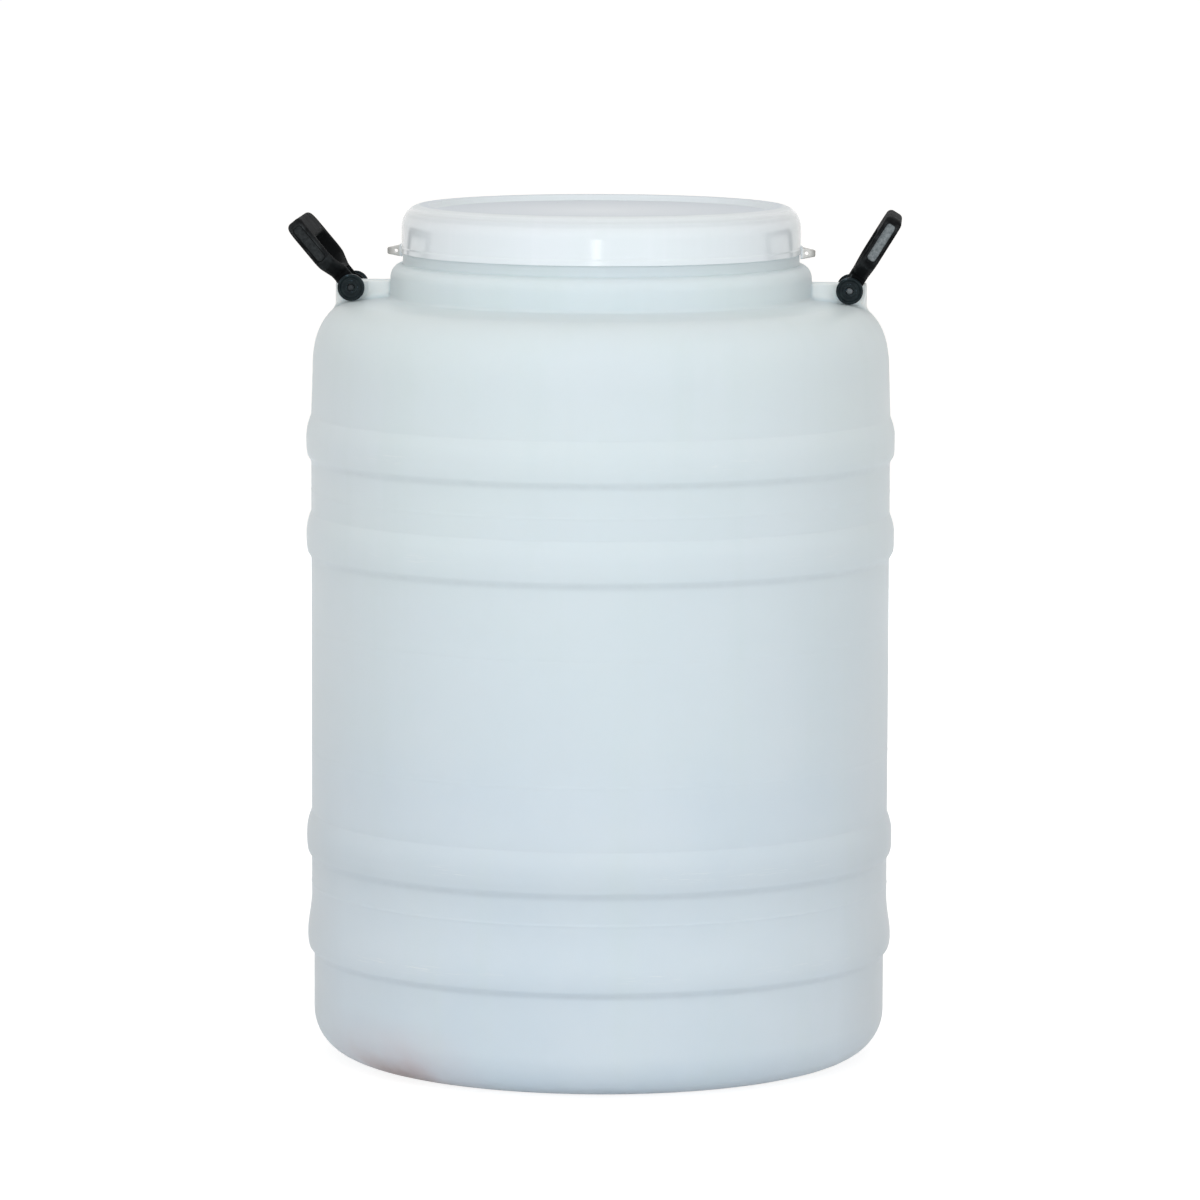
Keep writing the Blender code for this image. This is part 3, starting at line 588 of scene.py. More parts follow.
def helix_ridge(name, root_radius, outward, start_height):
    """A screw thread's ridge with rounded crests, swept up its helix and faded at both ends."""
    side = 1 if outward else -1
    corners = [
        (-side * THREAD_SINK, -THREAD_ROOT_WIDTH / 2, 0),
        (side * THREAD_HEIGHT, -THREAD_CREST_WIDTH / 2, SMALL_ROUND),
        (side * THREAD_HEIGHT, THREAD_CREST_WIDTH / 2, SMALL_ROUND),
        (-side * THREAD_SINK, THREAD_ROOT_WIDTH / 2, 0),
    ]
    section = rounded_path(corners, True, 3)
    count = round(BODY_STEPS * THREAD_TURNS)
    loops = []
    for index in range(count + 1):
        share = index / count
        angle = math.tau * THREAD_TURNS * share + math.pi / BODY_STEPS
        height = start_height + THREAD_LEAD * THREAD_TURNS * share
        rise = ease(min(share, 1 - share) / THREAD_FADE_SHARE)
        fade = THREAD_END_SHARE + (1 - THREAD_END_SHARE) * rise
        loop = []
        for out, up in section:
            radius = root_radius + (out * fade if out * side > 0 else out)
            loop.append((radius * math.cos(angle), radius * math.sin(angle), height + up * fade))
        loops.append(loop)
    return loft(name, loops)


def ear_plan():
    """The ear's border seen from above, each point with the way that it faces."""
    root = COLLAR_RADIUS - WALL / 2
    half = EAR_HALF_THICKNESS
    corner_x = EAR_END_RADIUS - EAR_CORNER
    plan = []
    for step in range(EAR_SIDE_STEPS + 1):
        x = root + (corner_x - root) * step / EAR_SIDE_STEPS
        flare = max(0, 1 - (x - COLLAR_RADIUS) / EAR_FILLET)
        spread = EAR_FILLET * (1 - math.sqrt(max(0, 1 - min(flare, 1) ** 2)))
        plan.append(((x, -half - spread), (0, -1)))
    for step in range(EAR_CORNER_STEPS + 1):
        angle = math.radians(90 * step / EAR_CORNER_STEPS - 90)
        spoke = (math.cos(angle), math.sin(angle))
        plan.append(((corner_x + EAR_CORNER * spoke[0], EAR_CORNER - half + EAR_CORNER * spoke[1]), spoke))
    return plan + [((x, -y), (out_x, -out_y)) for (x, y), (out_x, out_y) in reversed(plan)]


def ear(name, turn):
    """The ear at +X before its turn: a rounded slab that flows into the shoulder, and its boss."""
    # How far out each level is, whether it follows the shoulder, and its height
    levels = []
    for step in range(EAR_EDGE_STEPS + 1):
        angle = math.radians(90 * step / EAR_EDGE_STEPS)
        inward = EAR_EDGE * (1 - math.sin(angle))
        levels.append((-inward, 0, EAR_TOP - EAR_EDGE * (1 - math.cos(angle))))
    for step in range(EAR_FILLET_STEPS + 1):
        angle = math.radians(90 * step / EAR_FILLET_STEPS)
        outward = EAR_FILLET * (1 - math.cos(angle))
        levels.append((outward, 1, EAR_FILLET * (1 - math.sin(angle))))
    levels += [(EAR_FILLET + SMALL_ROUND, 1, -EAR_SINK / 3), (EAR_FILLET, 1, -EAR_SINK)]
    plan = ear_plan()
    loops = []
    for out, follows, rise in levels:
        loop = []
        for (x, y), (out_x, out_y) in plan:
            place = (x + out_x * out, y + out_y * out)
            height = rise + follows * shoulder_height(math.hypot(*place))
            loop.append(turn @ Vector((*place, height)))
        loops.append(loop)
    slab = loft(name, loops)
    boss_end = EAR_END_RADIUS - EAR_EDGE / 2
    top = EAR_TOP - EAR_EDGE / 3
    outline = [(PIVOT_RADIUS - BOSS_RADIUS, top)]
    outline += arc((PIVOT_RADIUS, PIVOT_HEIGHT), (BOSS_RADIUS, BOSS_RADIUS), 180, 360, SMALL_STEPS // 2)
    outline = [(min(x, boss_end), z) for x, z in outline]
    outline.append((boss_end, top))
    boss = plate(name + "_boss", [outline], BOSS_HALF_THICKNESS * 2, turn @ FACING_FRONT, BOSS_EDGE, 2)
    return slab, boss


def ear_share(x, y, z):
    """1 in the thicker plastic of an ear, which is painted lighter as painted light, falling to 0 at the
    shoulder.
    """
    if abs(x) <= COLLAR_RADIUS or z >= EAR_TOP + WALL:
        return 0
    beside = ease((EAR_HALF_THICKNESS + EAR_FILLET - abs(y)) / EAR_FILLET)
    above = ease((z - shoulder_height(math.hypot(x, y))) / EAR_FILLET)
    return beside * above


def make_body(material):
    """The blow-moulded shell with its neck, thread, ears and the mould's parting line at +X and -X."""
    angles = even_angles(BODY_STEPS)
    for middle in (0, math.pi):
        angles += [middle + PARTING_HALF_ANGLE * share for share in MOULD_LINE_SHARES if share]
    angles = sorted(angle % math.tau for angle in angles)
    neck_inner = NECK_RADIUS - NECK_WALL
    outside = shell_outline(0, COLLAR_BEND_START)
    neck = [
        (neck_inner, COLLAR_TOP, 0),
        (neck_inner, RIM_TOP, RIM_ROUND),
        (NECK_RADIUS, RIM_TOP, RIM_ROUND),
        (NECK_RADIUS, RING_TOP, SMALL_ROUND),
        (RING_RADIUS, RING_TOP, TINY_ROUND),
        (RING_RADIUS, COLLAR_TOP, SMALL_ROUND),
        (*outside[0], 0),
    ]
    outline = rounded_path(neck) + outside[1:] + list(reversed(shell_outline(WALL, 90)))
    body = lathe("barrel_shell", outline, angles, ring=True)
    for vertex in body.data.vertices:
        x, y, z = vertex.co
        radius = math.hypot(x, y)
        if radius < BODY_RADIUS - WALL / 2 or z > SHOULDER_TOP - SHOULDER_BEND_DROP / 2:
            continue
        aside = abs(y) / (radius * PARTING_HALF_ANGLE)
        grow = 1 + PARTING_HEIGHT * math.exp(-(aside**2)) / radius
        room = (BODY_RADIUS + HOOP_RISE) / radius
        vertex.co.x *= min(grow, room)
        vertex.co.y *= min(grow, room)
    additions = [helix_ridge("neck_thread", NECK_RADIUS, True, THREAD_START)]
    holes = []
    for side, sign, turn in SIDES:
        additions += ear(side + "_ear", turn)
        centre = (sign * PIVOT_RADIUS, 0, PIVOT_HEIGHT)
        holes.append(rod(side + "_ear_hole", HOLE_RADIUS, BOSS_HALF_THICKNESS * 2, centre))
    combine(body, "UNION", additions)
    combine(body, "DIFFERENCE", holes)
    mark_points(body, "ear_glow", ear_share)
    finish_piece(body, "barrel", ["barrel_body"], material)


def make_lid(material):
    """The screw lid: a rounded cap with a shallow recess, an inner thread and two lugs with holes."""
    floor = LID_TOP - LID_RECESS_DEPTH
    inner_radius = LID_RADIUS - LID_WALL
    ceiling = LID_TOP - LID_TOP_WALL
    corner_width, corner_height = LID_CORNER
    top = [
        (0, floor, 0),
        (LID_RECESS_RADIUS - LID_RECESS_SLOPE, floor, SMALL_ROUND * 2),
        (LID_RECESS_RADIUS, LID_TOP, SMALL_ROUND),
        (LID_RADIUS - corner_width, LID_TOP, 0),
    ]
    lip = LID_BOTTOM + LID_LIP_HEIGHT
    skirt = [
        (LID_RADIUS - LID_LIP_STEP, lip + SMALL_ROUND * 3, 0),
        (LID_RADIUS - LID_LIP_STEP, lip + SMALL_ROUND, SMALL_ROUND),
        (LID_RADIUS, lip - SMALL_ROUND / 2, SMALL_ROUND),
        (LID_RADIUS, LID_BOTTOM, TINY_ROUND),
        (inner_radius, LID_BOTTOM, SMALL_ROUND),
        (inner_radius, ceiling, (corner_width - LID_WALL) / 2),
        (LID_RECESS_RADIUS + LID_RECESS_SLOPE, ceiling, SMALL_ROUND),
        (LID_RECESS_RADIUS, floor - LID_TOP_WALL, SMALL_ROUND),
        (0, floor - LID_TOP_WALL, 0),
    ]
    centre = (LID_RADIUS - corner_width, LID_TOP - corner_height)
    corner = arc(centre, (corner_width - LID_LIP_STEP, corner_height), 90, 0, LID_CORNER_STEPS)
    outline = rounded_path(top) + corner[1:] + rounded_path(skirt)
    lid = lathe("screw_lid", outline, even_angles(BODY_STEPS))
    bottom = LID_BOTTOM - LUG_DROP
    middle = bottom + LUG_ROOT_HEIGHT / 2
    tip = LID_RADIUS + LUG_REACH
    root = RING_RADIUS + SMALL_ROUND
    additions = [helix_ridge("lid_thread", inner_radius, False, THREAD_START - THREAD_LEAD / 2)]
    holes = []
    lug = [
        (root, bottom, 0),
        (LID_RADIUS + LUG_REACH / 6, bottom + SMALL_ROUND / 3, SMALL_ROUND),
        (tip, middle - LUG_TIP_HEIGHT / 2, SMALL_ROUND * 1.5),
        (tip, middle + LUG_TIP_HEIGHT / 2, SMALL_ROUND * 1.5),
        (LID_RADIUS + LUG_REACH / 6, bottom + LUG_ROOT_HEIGHT, LUG_REACH / 6),
        (root, bottom + LUG_ROOT_HEIGHT + LUG_REACH / 6, 0),
    ]
    border = rounded_path(lug, True)
    for side, _, turn in SIDES:
        facing = turn @ FACING_FRONT
        additions.append(plate(side + "_lug", [border], LUG_HALF_WIDTH * 2, facing, SMALL_ROUND, 2))
        place = turn @ Vector((LID_RADIUS + LUG_HOLE_REACH, 0, middle))
        holes.append(rod(side + "_lug_hole", LUG_HOLE_RADIUS, LUG_HALF_WIDTH * 2, place, SMALL_STEPS // 2))
    combine(lid, "UNION", additions)
    combine(lid, "DIFFERENCE", holes)
    mark_points(lid, "lug", lambda x, y, z: max((math.hypot(x, y) - LID_RADIUS) / LUG_REACH, 0))
    finish_piece(lid, "lid", ["lid"], material)


def make_gasket(material):
    """The sealing ring, with rounded edges and a shallow groove in both faces."""
    inner, outer = GASKET_RADII
    bottom, top = GASKET_HEIGHTS
    middle = (inner + outer) / 2
    groove = (outer - inner) / 8
    face = [
        (inner, 0, SMALL_ROUND),
        (middle - groove, 0, 0),
        (middle, groove / 2, SMALL_ROUND / 2),
        (middle + groove, 0, 0),
        (outer, 0, SMALL_ROUND),
    ]
    corners = [(radius, top - depth, bend) for radius, depth, bend in face]
    corners += [(radius, bottom + depth, bend) for radius, depth, bend in reversed(face)]
    gasket = lathe("sealing_ring", rounded_path(corners, True), even_angles(BODY_STEPS), ring=True)
    finish_piece(gasket, "gasket", ["lid_gasket"], material)


def pocket_cutter(name, side):
    """What is cut from a handle's leg for its pocket: a flared mouth over straight walls."""
    loops = []
    levels = (
        (POCKET_CHAMFER * 2, -POCKET_CHAMFER),
        (POCKET_CHAMFER, 0),
        (POCKET_CHAMFER / 4, POCKET_CHAMFER / 2),
        (0, POCKET_CHAMFER * 1.5),
        (-POCKET_CHAMFER / 2, POCKET_DEPTH - POCKET_CHAMFER),
        (-POCKET_CHAMFER * 1.5, POCKET_DEPTH),
    )
    for spread, depth in levels:
        half_width = POCKET_WIDTH / 2 + spread
        half_length = POCKET_LENGTH / 2 + spread
        corner = max(POCKET_CORNER + spread, POCKET_CHAMFER)
        ends = [(half_width, POCKET_MIDDLE + end, corner) for end in (-half_length, half_length)]
        outline = rounded_path(mirrored(ends), True)
        y = side * (HANDLE_HALF_WIDTH - depth)
        loops.append([(x, y, z) for x, z in outline])
    return loft(name, loops)


def make_handle(name, sign, lean, material):
    """A moulded handle: a rounded loop above a fork, with a pocket in each leg."""
    half = HANDLE_HALF_WIDTH
    outer = [
        (TINE_OUTER, 0, 0),
        (TINE_OUTER, FORK_SHOULDER, FORK_FILLET),
        (half, LOOP_SHOULDER, LOOP_CORNER),
        (half, HANDLE_REACH, LOOP_CORNER),
    ]
    opening = [
        (GAP_FLOOR_HALF_WIDTH, GAP_BOTTOM, 0),
        (GAP_HALF_WIDTH, GAP_SIDE_BOTTOM, GAP_CORNER),
        (GAP_HALF_WIDTH, GAP_TOP, GAP_CORNER),
    ]
    borders = [rounded_path(mirrored(corners), True, HANDLE_CORNER_STEPS) for corners in (outer, opening)]
    handle = plate(name + "_loop", borders, HANDLE_THICKNESS, FACING_SIDE, HANDLE_EDGE, HANDLE_EDGE_STEPS)
    combine(handle, "UNION", [rod(name + "_eye", EYE_RADIUS, TINE_OUTER, (0, 0, 0))])
    slot_reach = EYE_RADIUS + OVERRUN
    slot_outline = rounded_path(mirrored([(TINE_INNER, -slot_reach, 0), (TINE_INNER, CROTCH, 0)]), True)
    cutters = [
        plate(name + "_fork_slot", [slot_outline], slot_reach * 2, FACING_SIDE),
        rod(name + "_bore", HOLE_RADIUS, TINE_OUTER + OVERRUN, (0, 0, 0)),
        pocket_cutter(name + "_front_pocket", -1),
        pocket_cutter(name + "_rear_pocket", 1),
    ]
    combine(handle, "DIFFERENCE", cutters)

    def pocket_share(x, y, z):
        """The handle's share of painted light on a pocket's floor, and 0 elsewhere."""
        depth_share = (half - abs(y)) / POCKET_DEPTH
        inside = abs(x) < POCKET_WIDTH / 2 and abs(z - POCKET_MIDDLE) < POCKET_LENGTH / 2
        return POCKET_LIGHT_SHARES[name] if inside and 0.8 < depth_share < 1.2 else 0

    mark_points(handle, "pocket", pocket_share)
    handle.name = name + "_moulding"
    pivot = Matrix.Translation((sign * PIVOT_RADIUS, 0, PIVOT_HEIGHT))
    handle.data.transform(pivot @ Matrix.Rotation(sign * lean, 4, "Y"))
    finish_piece(handle, name, [name], material)


def make_pins_and_caps(pin_material, cap_material):
    """The pivot pins with domed ends, and the round caps with raised rims."""
    pin_outline = [(0, PIN_HALF_LENGTH)]
    pin_outline += arc((0, PIN_HALF_LENGTH - PIN_DOME), (PIN_RADIUS, PIN_DOME), PIN_DOME_START, 0, 6)
    pin_outline += [(r, -z) for r, z in reversed(pin_outline)]
    rim_top = CAP_OUTER + CAP_RIM_HEIGHT
    rim_inner = CAP_RADIUS - CAP_RIM_WIDTH
    corners = [
        (HOLE_RADIUS, CAP_OUTER, CAP_ROUND / 2),
        (HOLE_RADIUS * 1.8, CAP_OUTER, CAP_ROUND),
        (HOLE_RADIUS * 1.9, CAP_OUTER - CAP_RIM_HEIGHT / 2, CAP_ROUND / 2),
        (rim_inner - CAP_RIM_HEIGHT, CAP_OUTER - CAP_RIM_HEIGHT / 2, CAP_ROUND),
        (rim_inner, rim_top, CAP_ROUND),
        (CAP_RADIUS, rim_top, CAP_ROUND * 1.5),
        (CAP_RADIUS, CAP_INNER, CAP_ROUND),
        (HOLE_RADIUS, CAP_INNER, 0),
    ]
    cap_outline = rounded_path(corners, True, 4)
    for side, sign, _ in reversed(SIDES):
        place = (sign * PIVOT_RADIUS, 0, PIVOT_HEIGHT)
        pin = lathe(side + "_pin", pin_outline, even_angles(SMALL_STEPS))
        mark_points(pin, "pin_shade", lambda x, y, z, share=PIN_SHADE_SHARES[side]: share)
        pin.location = place
        pin.rotation_euler = (math.pi / 2, 0, 0)
        finish_piece(pin, "barrel", [side + "_pivot_pin"], pin_material)
        for end, tip in (("front", 1), ("rear", -1)):
            cap = lathe(f"{side}_{end}_disc", cap_outline, even_angles(SMALL_STEPS), ring=True)
            cap.location = place
            cap.rotation_euler = (tip * math.pi / 2, 0, 0)
            finish_piece(cap, "barrel", [f"{side}_{end}_cap"], cap_material)


class Paint:
    """A material's node tree, with short calls for its nodes."""

    def __init__(self, name):
        self.material = bpy.data.materials.new(name)
        self.material.use_nodes = True
        self.tree = self.material.node_tree
        self.shader = self.tree.nodes["Principled BSDF"]
        self.place = self.node("ShaderNodeTexCoord").outputs["Object"]

    def feed(self, socket, value):
        """Links a socket to another one, or sets its value."""
        if isinstance(value, bpy.types.NodeSocket):
            self.tree.links.new(value, socket)
        else:
            socket.default_value = value

    def node(self, kind, inputs=None, **settings):
        """Adds a node, sets its properties and feeds its inputs."""
        node = self.tree.nodes.new(kind)
        for key, value in settings.items():
            setattr(node, key, value)
        for key, value in (inputs or {}).items():
            self.feed(node.inputs[key], value)
        return node

    def finish(self, **inputs):
        """Feeds the shader's sockets, where _ stands for a space in a name, and gives the material."""
        for key, value in inputs.items():
            self.feed(self.shader.inputs[key.replace("_", " ")], value)
        return self.material

    def stretched(self, scale):
        """The piece's own coordinates, scaled along each axis."""
        return self.node("ShaderNodeMapping", {"Vector": self.place, "Scale": scale}).outputs["Vector"]

    def coordinate(self, axis="Z"):
        """One of the piece's own coordinates."""
        return self.node("ShaderNodeSeparateXYZ", {"Vector": self.place}).outputs[axis]

    def marked(self, name):
        """The value that the piece's points carry under this name."""
        return self.node("ShaderNodeAttribute", attribute_name=name).outputs["Fac"]

    def noise(self, scale, detail=2, place=None, roughness=0.5):
        """A noise value round 0.5."""
        inputs = {"Vector": place or self.place, "Scale": scale, "Detail": detail, "Roughness": roughness}
        return self.node("ShaderNodeTexNoise", inputs).outputs["Fac"]

    def span(self, value, low, high, to_low=0, to_high=1):
        """A value mapped from one span to another, and held at its ends."""
        inputs = {"Value": value, "From Min": low, "From Max": high, "To Min": to_low, "To Max": to_high}
        return self.node("ShaderNodeMapRange", inputs).outputs["Result"]

    def maths(self, operation, first, second=0):
        """The result of an operation on one value or two."""
        return self.node("ShaderNodeMath", {0: first, 1: second}, operation=operation).outputs["Value"]

    def times(self, first, second):
        """The product of two values."""
        return self.maths("MULTIPLY", first, second)

    def total(self, values):
        """The sum of several values."""
        result, *others = values
        for value in others:
            result = self.maths("ADD", result, value)
        return result

    def band(self, middle, half_width):
        """1 at a height, falling to 0 at half a band's width from it."""
        away = self.maths("ABSOLUTE", self.maths("SUBTRACT", self.coordinate(), middle))
        return self.span(away, 0, half_width, 1, 0)

    def worn_edges(self, edges, patches, shares):
        """High edges that are worn in patches."""
        pointed = self.node("ShaderNodeNewGeometry").outputs["Pointiness"]
        return self.times(self.span(pointed, *edges), self.span(patches, *shares))

    def mix(self, factor, first, second):
        """Two colours mixed by a factor."""
        return self.node("ShaderNodeMix", {0: factor, 6: first, 7: second}, data_type="RGBA").outputs[2]

    def bump(self, height, distance, strength, below=None):
        """A bump from a height value, over another bump if one is given; its distance is in metres."""
        inputs = {"Height": height, "Distance": distance, "Strength": strength}
        if below is not None:
            inputs["Normal"] = below
        return self.node("ShaderNodeBump", inputs).outputs["Normal"]


def body_paint():
    """Milky satin polyethylene, bluer and painted darker low down, with flow streaks and scuffed hoops;
    creases soiled and painted in shade, and more painted light, shade and reflection.
    """
    paint = Paint("milky_polyethylene")
    height = paint.coordinate()
    # Painted shade and tint: the body goes from a darker, bluer low colour up to a lighter high one
    rise = paint.total(paint.span(height, low, high, 0, share) for low, high, share in BODY_TINT_AND_SHADE_SPANS)
    uneven = paint.maths("ADD", rise, paint.span(paint.noise(5, 3), 0.3, 0.7, -0.16, 0.16))
    colour = paint.mix(uneven, BODY_LOW_TINT_AND_SHADE_COLOUR, BODY_HIGH_COLOUR)
    clouds = paint.span(paint.noise(9, 4, roughness=0.6), 0.35, 0.7)
    colour = paint.mix(paint.times(clouds, 0.5), colour, BODY_CLOUD_COLOUR)
    streaks = paint.noise(1, 3, paint.stretched((38, 38, 2.2)))
    colour = paint.mix(paint.span(streaks, 0.5, 0.75, 0, 0.22), colour, BODY_STREAK_COLOUR)

    # Creases under the hoops, soiled and darkened as painted shade in speckles
    crease_dirt_and_shade = paint.total(paint.band(middle, BODY_CREASE_WIDTH) for middle in BODY_CREASES)
    speckle = paint.span(paint.noise(70, 4, roughness=0.7), 0.35, 0.65)
    colour = paint.mix(paint.times(crease_dirt_and_shade, paint.times(speckle, 0.10)), colour, BODY_DIRT_AND_SHADE_COLOUR)
    # Painted shadow of the lid on the neck ring under it
    ring = paint.band((RING_TOP + COLLAR_TOP) / 2, RING_TOP - COLLAR_TOP)
    colour = paint.mix(paint.times(ring, 0.2), colour, BODY_DIRT_AND_SHADE_COLOUR)
    # Painted shade: the low flanks at +X and -X turn greyer
    flank_shade = paint.span(paint.maths("ABSOLUTE", paint.coordinate("X")), *FLANK_WIDTHS)
    flank_shade = paint.times(flank_shade, paint.span(height, *FLANK_HEIGHTS, FLANK_SHARE, 0))
    colour = paint.mix(flank_shade, colour, BODY_FLANK_SHADE_COLOUR)
    # Painted reddish reflection at the front-left base corner, a soft edge round a stronger middle
    ends = {0: paint.place, 1: BODY_CORNER_REFLECTION_PLACE}
    away = paint.node("ShaderNodeVectorMath", ends, operation="DISTANCE").outputs["Value"]
    for distances, heights, share, reflection_colour in BODY_CORNER_REFLECTIONS:
        corner_reflection = paint.times(paint.span(away, *distances, 1, 0), paint.span(height, *heights, 1, 0))
        corner_reflection = paint.times(corner_reflection, paint.span(paint.noise(22, 3), 0.3, 0.6, 0.5 * share, share))
        colour = paint.mix(corner_reflection, colour, reflection_colour)
    # A band round the lowest equal hoop, painted a little darker
    dull = paint.band((HOOP_MIDDLES[2] + BODY_CREASES[2]) / 2, HOOP_HALF_HEIGHT * 2)
    colour = paint.mix(paint.times(dull, 0.13), colour, BODY_DIRT_AND_SHADE_COLOUR)

    scuffed = (*HOOP_MIDDLES, BASE_HOOP_CREST, BASE_CORNER / 4)
    scuffs = paint.total(paint.band(middle, HOOP_RISE * 1.6) for middle in scuffed)
    scratches = paint.noise(1, 4, paint.stretched((45, 45, 900)), roughness=0.65)
    scuffs = paint.times(scuffs, paint.span(scratches, 0.56, 0.64))
    scuffs = paint.times(scuffs, paint.span(paint.noise(14, 2), 0.45, 0.6))
    colour = paint.mix(paint.times(scuffs, 0.5), colour, BODY_SCUFF_COLOUR)
    # Painted light: the ears are painted lighter, as if lit through the plastic
    colour = paint.mix(paint.marked("ear_glow"), colour, BODY_EAR_GLOW_COLOUR)
    rough = paint.span(paint.noise(11, 3), 0.3, 0.7, 0.36, 0.46)
    wavy = paint.bump(paint.noise(1, 2, paint.stretched((9, 9, 6))), 0.0022, 0.35)
    ripples = paint.bump(paint.noise(1, 2, paint.stretched((60, 60, 5))), 0.0003, 0.30, wavy)
    return paint.finish(
        Base_Color=colour,
        Roughness=paint.maths("ADD", rough, paint.times(scuffs, 0.25)),
        Normal=paint.bump(paint.noise(900, 3), 0.00008, 0.35, ripples),
        Subsurface_Weight=0.35,
        Subsurface_Radius=(0.9, 1.0, 1.05),
        Subsurface_Scale=0.007,
        Specular_IOR_Level=0.20,
    )


def lid_paint():
    """Whiter, glossier moulded plastic, with faint flow rays from the middle and fine rub marks on top."""
    paint = Paint("white_lid_plastic")
    clouds = paint.span(paint.noise(12, 4, roughness=0.6), 0.35, 0.68)
    colour = paint.mix(clouds, LID_COLOUR, LID_CLOUD_COLOUR)
    turn = paint.node("ShaderNodeTexGradient", {"Vector": paint.place}, gradient_type="RADIAL")
    turn = paint.times(turn.outputs["Fac"], LID_RAYS)
    rays = paint.noise(1, 2, paint.node("ShaderNodeCombineXYZ", {"X": turn}).outputs["Vector"])
    colour = paint.mix(paint.span(rays, 0.5, 0.8, 0, 0.3), colour, LID_RAY_COLOUR)

    out = paint.node("ShaderNodeVectorMath", {0: paint.stretched((1, 1, 0))}, operation="LENGTH")
    out = out.outputs["Value"]
    slope = LID_RECESS_SLOPE
    flat_end = LID_RADIUS - LID_CORNER[0]
    floor_edge = LID_RECESS_RADIUS - slope
    top = paint.span(out, flat_end - slope / 4, flat_end + slope, 1, 0)
    panel = paint.span(out, floor_edge - slope / 2, floor_edge, 1, 0)
    rim = paint.span(out, LID_RECESS_RADIUS - slope / 4, LID_RECESS_RADIUS + slope / 2)
    dull = paint.times(top, paint.maths("MAXIMUM", panel, rim))
    outward = paint.span(out, *LID_FLOOR_FADE_RADII)
    colour = paint.mix(dull, colour, paint.mix(outward, LID_DULL_COLOUR, LID_FLOOR_EDGE_COLOUR))
    # Painted shade: the lugs are greyer than the lid and darker at their tips
    lug = paint.marked("lug")
    colour = paint.mix(paint.span(lug, 0, 0.2), colour, LUG_SHADE_COLOUR)
    colour = paint.mix(paint.span(lug, 0.6, 1), colour, LUG_TIP_SHADE_COLOUR)
    scratches = paint.noise(1, 4, paint.stretched((420, 26, 40)), roughness=0.7)
    crossing = paint.noise(1, 4, paint.stretched((30, 380, 40)), roughness=0.7)
    rubbed = paint.maths("MAXIMUM", paint.span(scratches, 0.62, 0.68), paint.span(crossing, 0.63, 0.68))
    rubbed = paint.times(rubbed, paint.span(paint.noise(16, 2), 0.48, 0.62))
    rubbed = paint.times(rubbed, top)
    colour = paint.mix(paint.times(rubbed, 0.35), colour, LID_RUB_COLOUR)

    rough = paint.span(paint.noise(18, 3), 0.3, 0.7, 0.11, 0.15)
    matt_end = flat_end + LID_CORNER[0] * 0.3
    matt = paint.span(out, matt_end, matt_end + LID_CORNER[0] * 0.25, 1, 0)
    wavy = paint.bump(paint.noise(11, 2), 0.0012, 0.25)
    return paint.finish(
        Base_Color=colour,
        Roughness=paint.total((rough, paint.times(matt, 0.45), paint.times(rubbed, 0.2))),
        Normal=paint.bump(paint.noise(1100, 2), 0.00004, 0.3, wavy),
        Subsurface_Weight=0.12,
        Subsurface_Radius=(1.0, 1.0, 1.0),
        Subsurface_Scale=0.003,
        Specular_IOR_Level=paint.span(matt, 0, 1, 0.40, 0.12),
    )


def gasket_paint():
    """Dull pale grey rubber with a dusty bloom."""
    paint = Paint("grey_rubber")
    bloom = paint.span(paint.noise(45, 4, roughness=0.6), 0.4, 0.65)
    return paint.finish(
        Base_Color=paint.mix(bloom, GASKET_COLOUR, GASKET_BLOOM_COLOUR),
        Roughness=paint.span(bloom, 0, 1, 0.62, 0.8),
        Normal=paint.bump(paint.noise(700, 3), 0.00006, 0.5),
    )


def handle_paint():
    """Black moulded plastic with a fine grain, greyed high edges and rough pocket floors painted grey as
    painted light, faintly on the left handle.
    """
    paint = Paint("black_handle_plastic")
    worn = paint.worn_edges((0.515, 0.56), paint.noise(140, 4), (0.42, 0.62))
    smears = paint.span(paint.noise(1, 4, paint.stretched((60, 160, 60)), roughness=0.65), 0.45, 0.75)
    colour = paint.mix(smears, HANDLE_COLOUR, HANDLE_SMEAR_COLOUR)
    colour = paint.mix(paint.times(worn, 0.6), colour, HANDLE_WORN_COLOUR)
    # Painted light: the pocket floors are grey, fully on the right handle and faintly on the left
    pocket = paint.marked("pocket")
    grit = paint.span(paint.noise(420, 4, roughness=0.7), 0.35, 0.65)
    lit_gritty_colour = paint.mix(grit, POCKET_LIT_COLOUR, POCKET_LIT_GRIT_COLOUR)
    rough = paint.span(paint.noise(90, 3), 0.3, 0.7, 0.6, 0.74)
    grain = paint.bump(paint.noise(1300, 3), 0.00006, 0.5)
    return paint.finish(
        Base_Color=paint.mix(paint.times(pocket, 0.95), colour, lit_gritty_colour),
        Roughness=paint.maths("ADD", rough, paint.times(pocket, 0.3)),
        Normal=paint.bump(paint.times(pocket, paint.noise(700, 4)), 0.0003, 0.8, grain),
        Specular_IOR_Level=0.03,
    )


def cap_paint():
    """Blue-black moulded plastic with a faintly worn rim, painted lighter partly as a painted highlight."""
    paint = Paint("blue_black_cap_plastic")
    worn = paint.worn_edges((0.52, 0.58), paint.noise(300, 3), (0.4, 0.6))
    colour = paint.mix(paint.span(paint.noise(160, 3), 0.4, 0.7), CAP_COLOUR, CAP_SMEAR_COLOUR)
    # The rim's lighter colour is wear and partly a painted highlight
    return paint.finish(
        Base_Color=paint.mix(paint.times(worn, 0.7), colour, CAP_WORN_SHEEN_COLOUR),
        Roughness=paint.span(paint.noise(120, 3), 0.3, 0.7, 0.34, 0.46),
        Normal=paint.bump(paint.noise(1500, 2), 0.00004, 0.4),
        Specular_IOR_Level=0.10,
    )


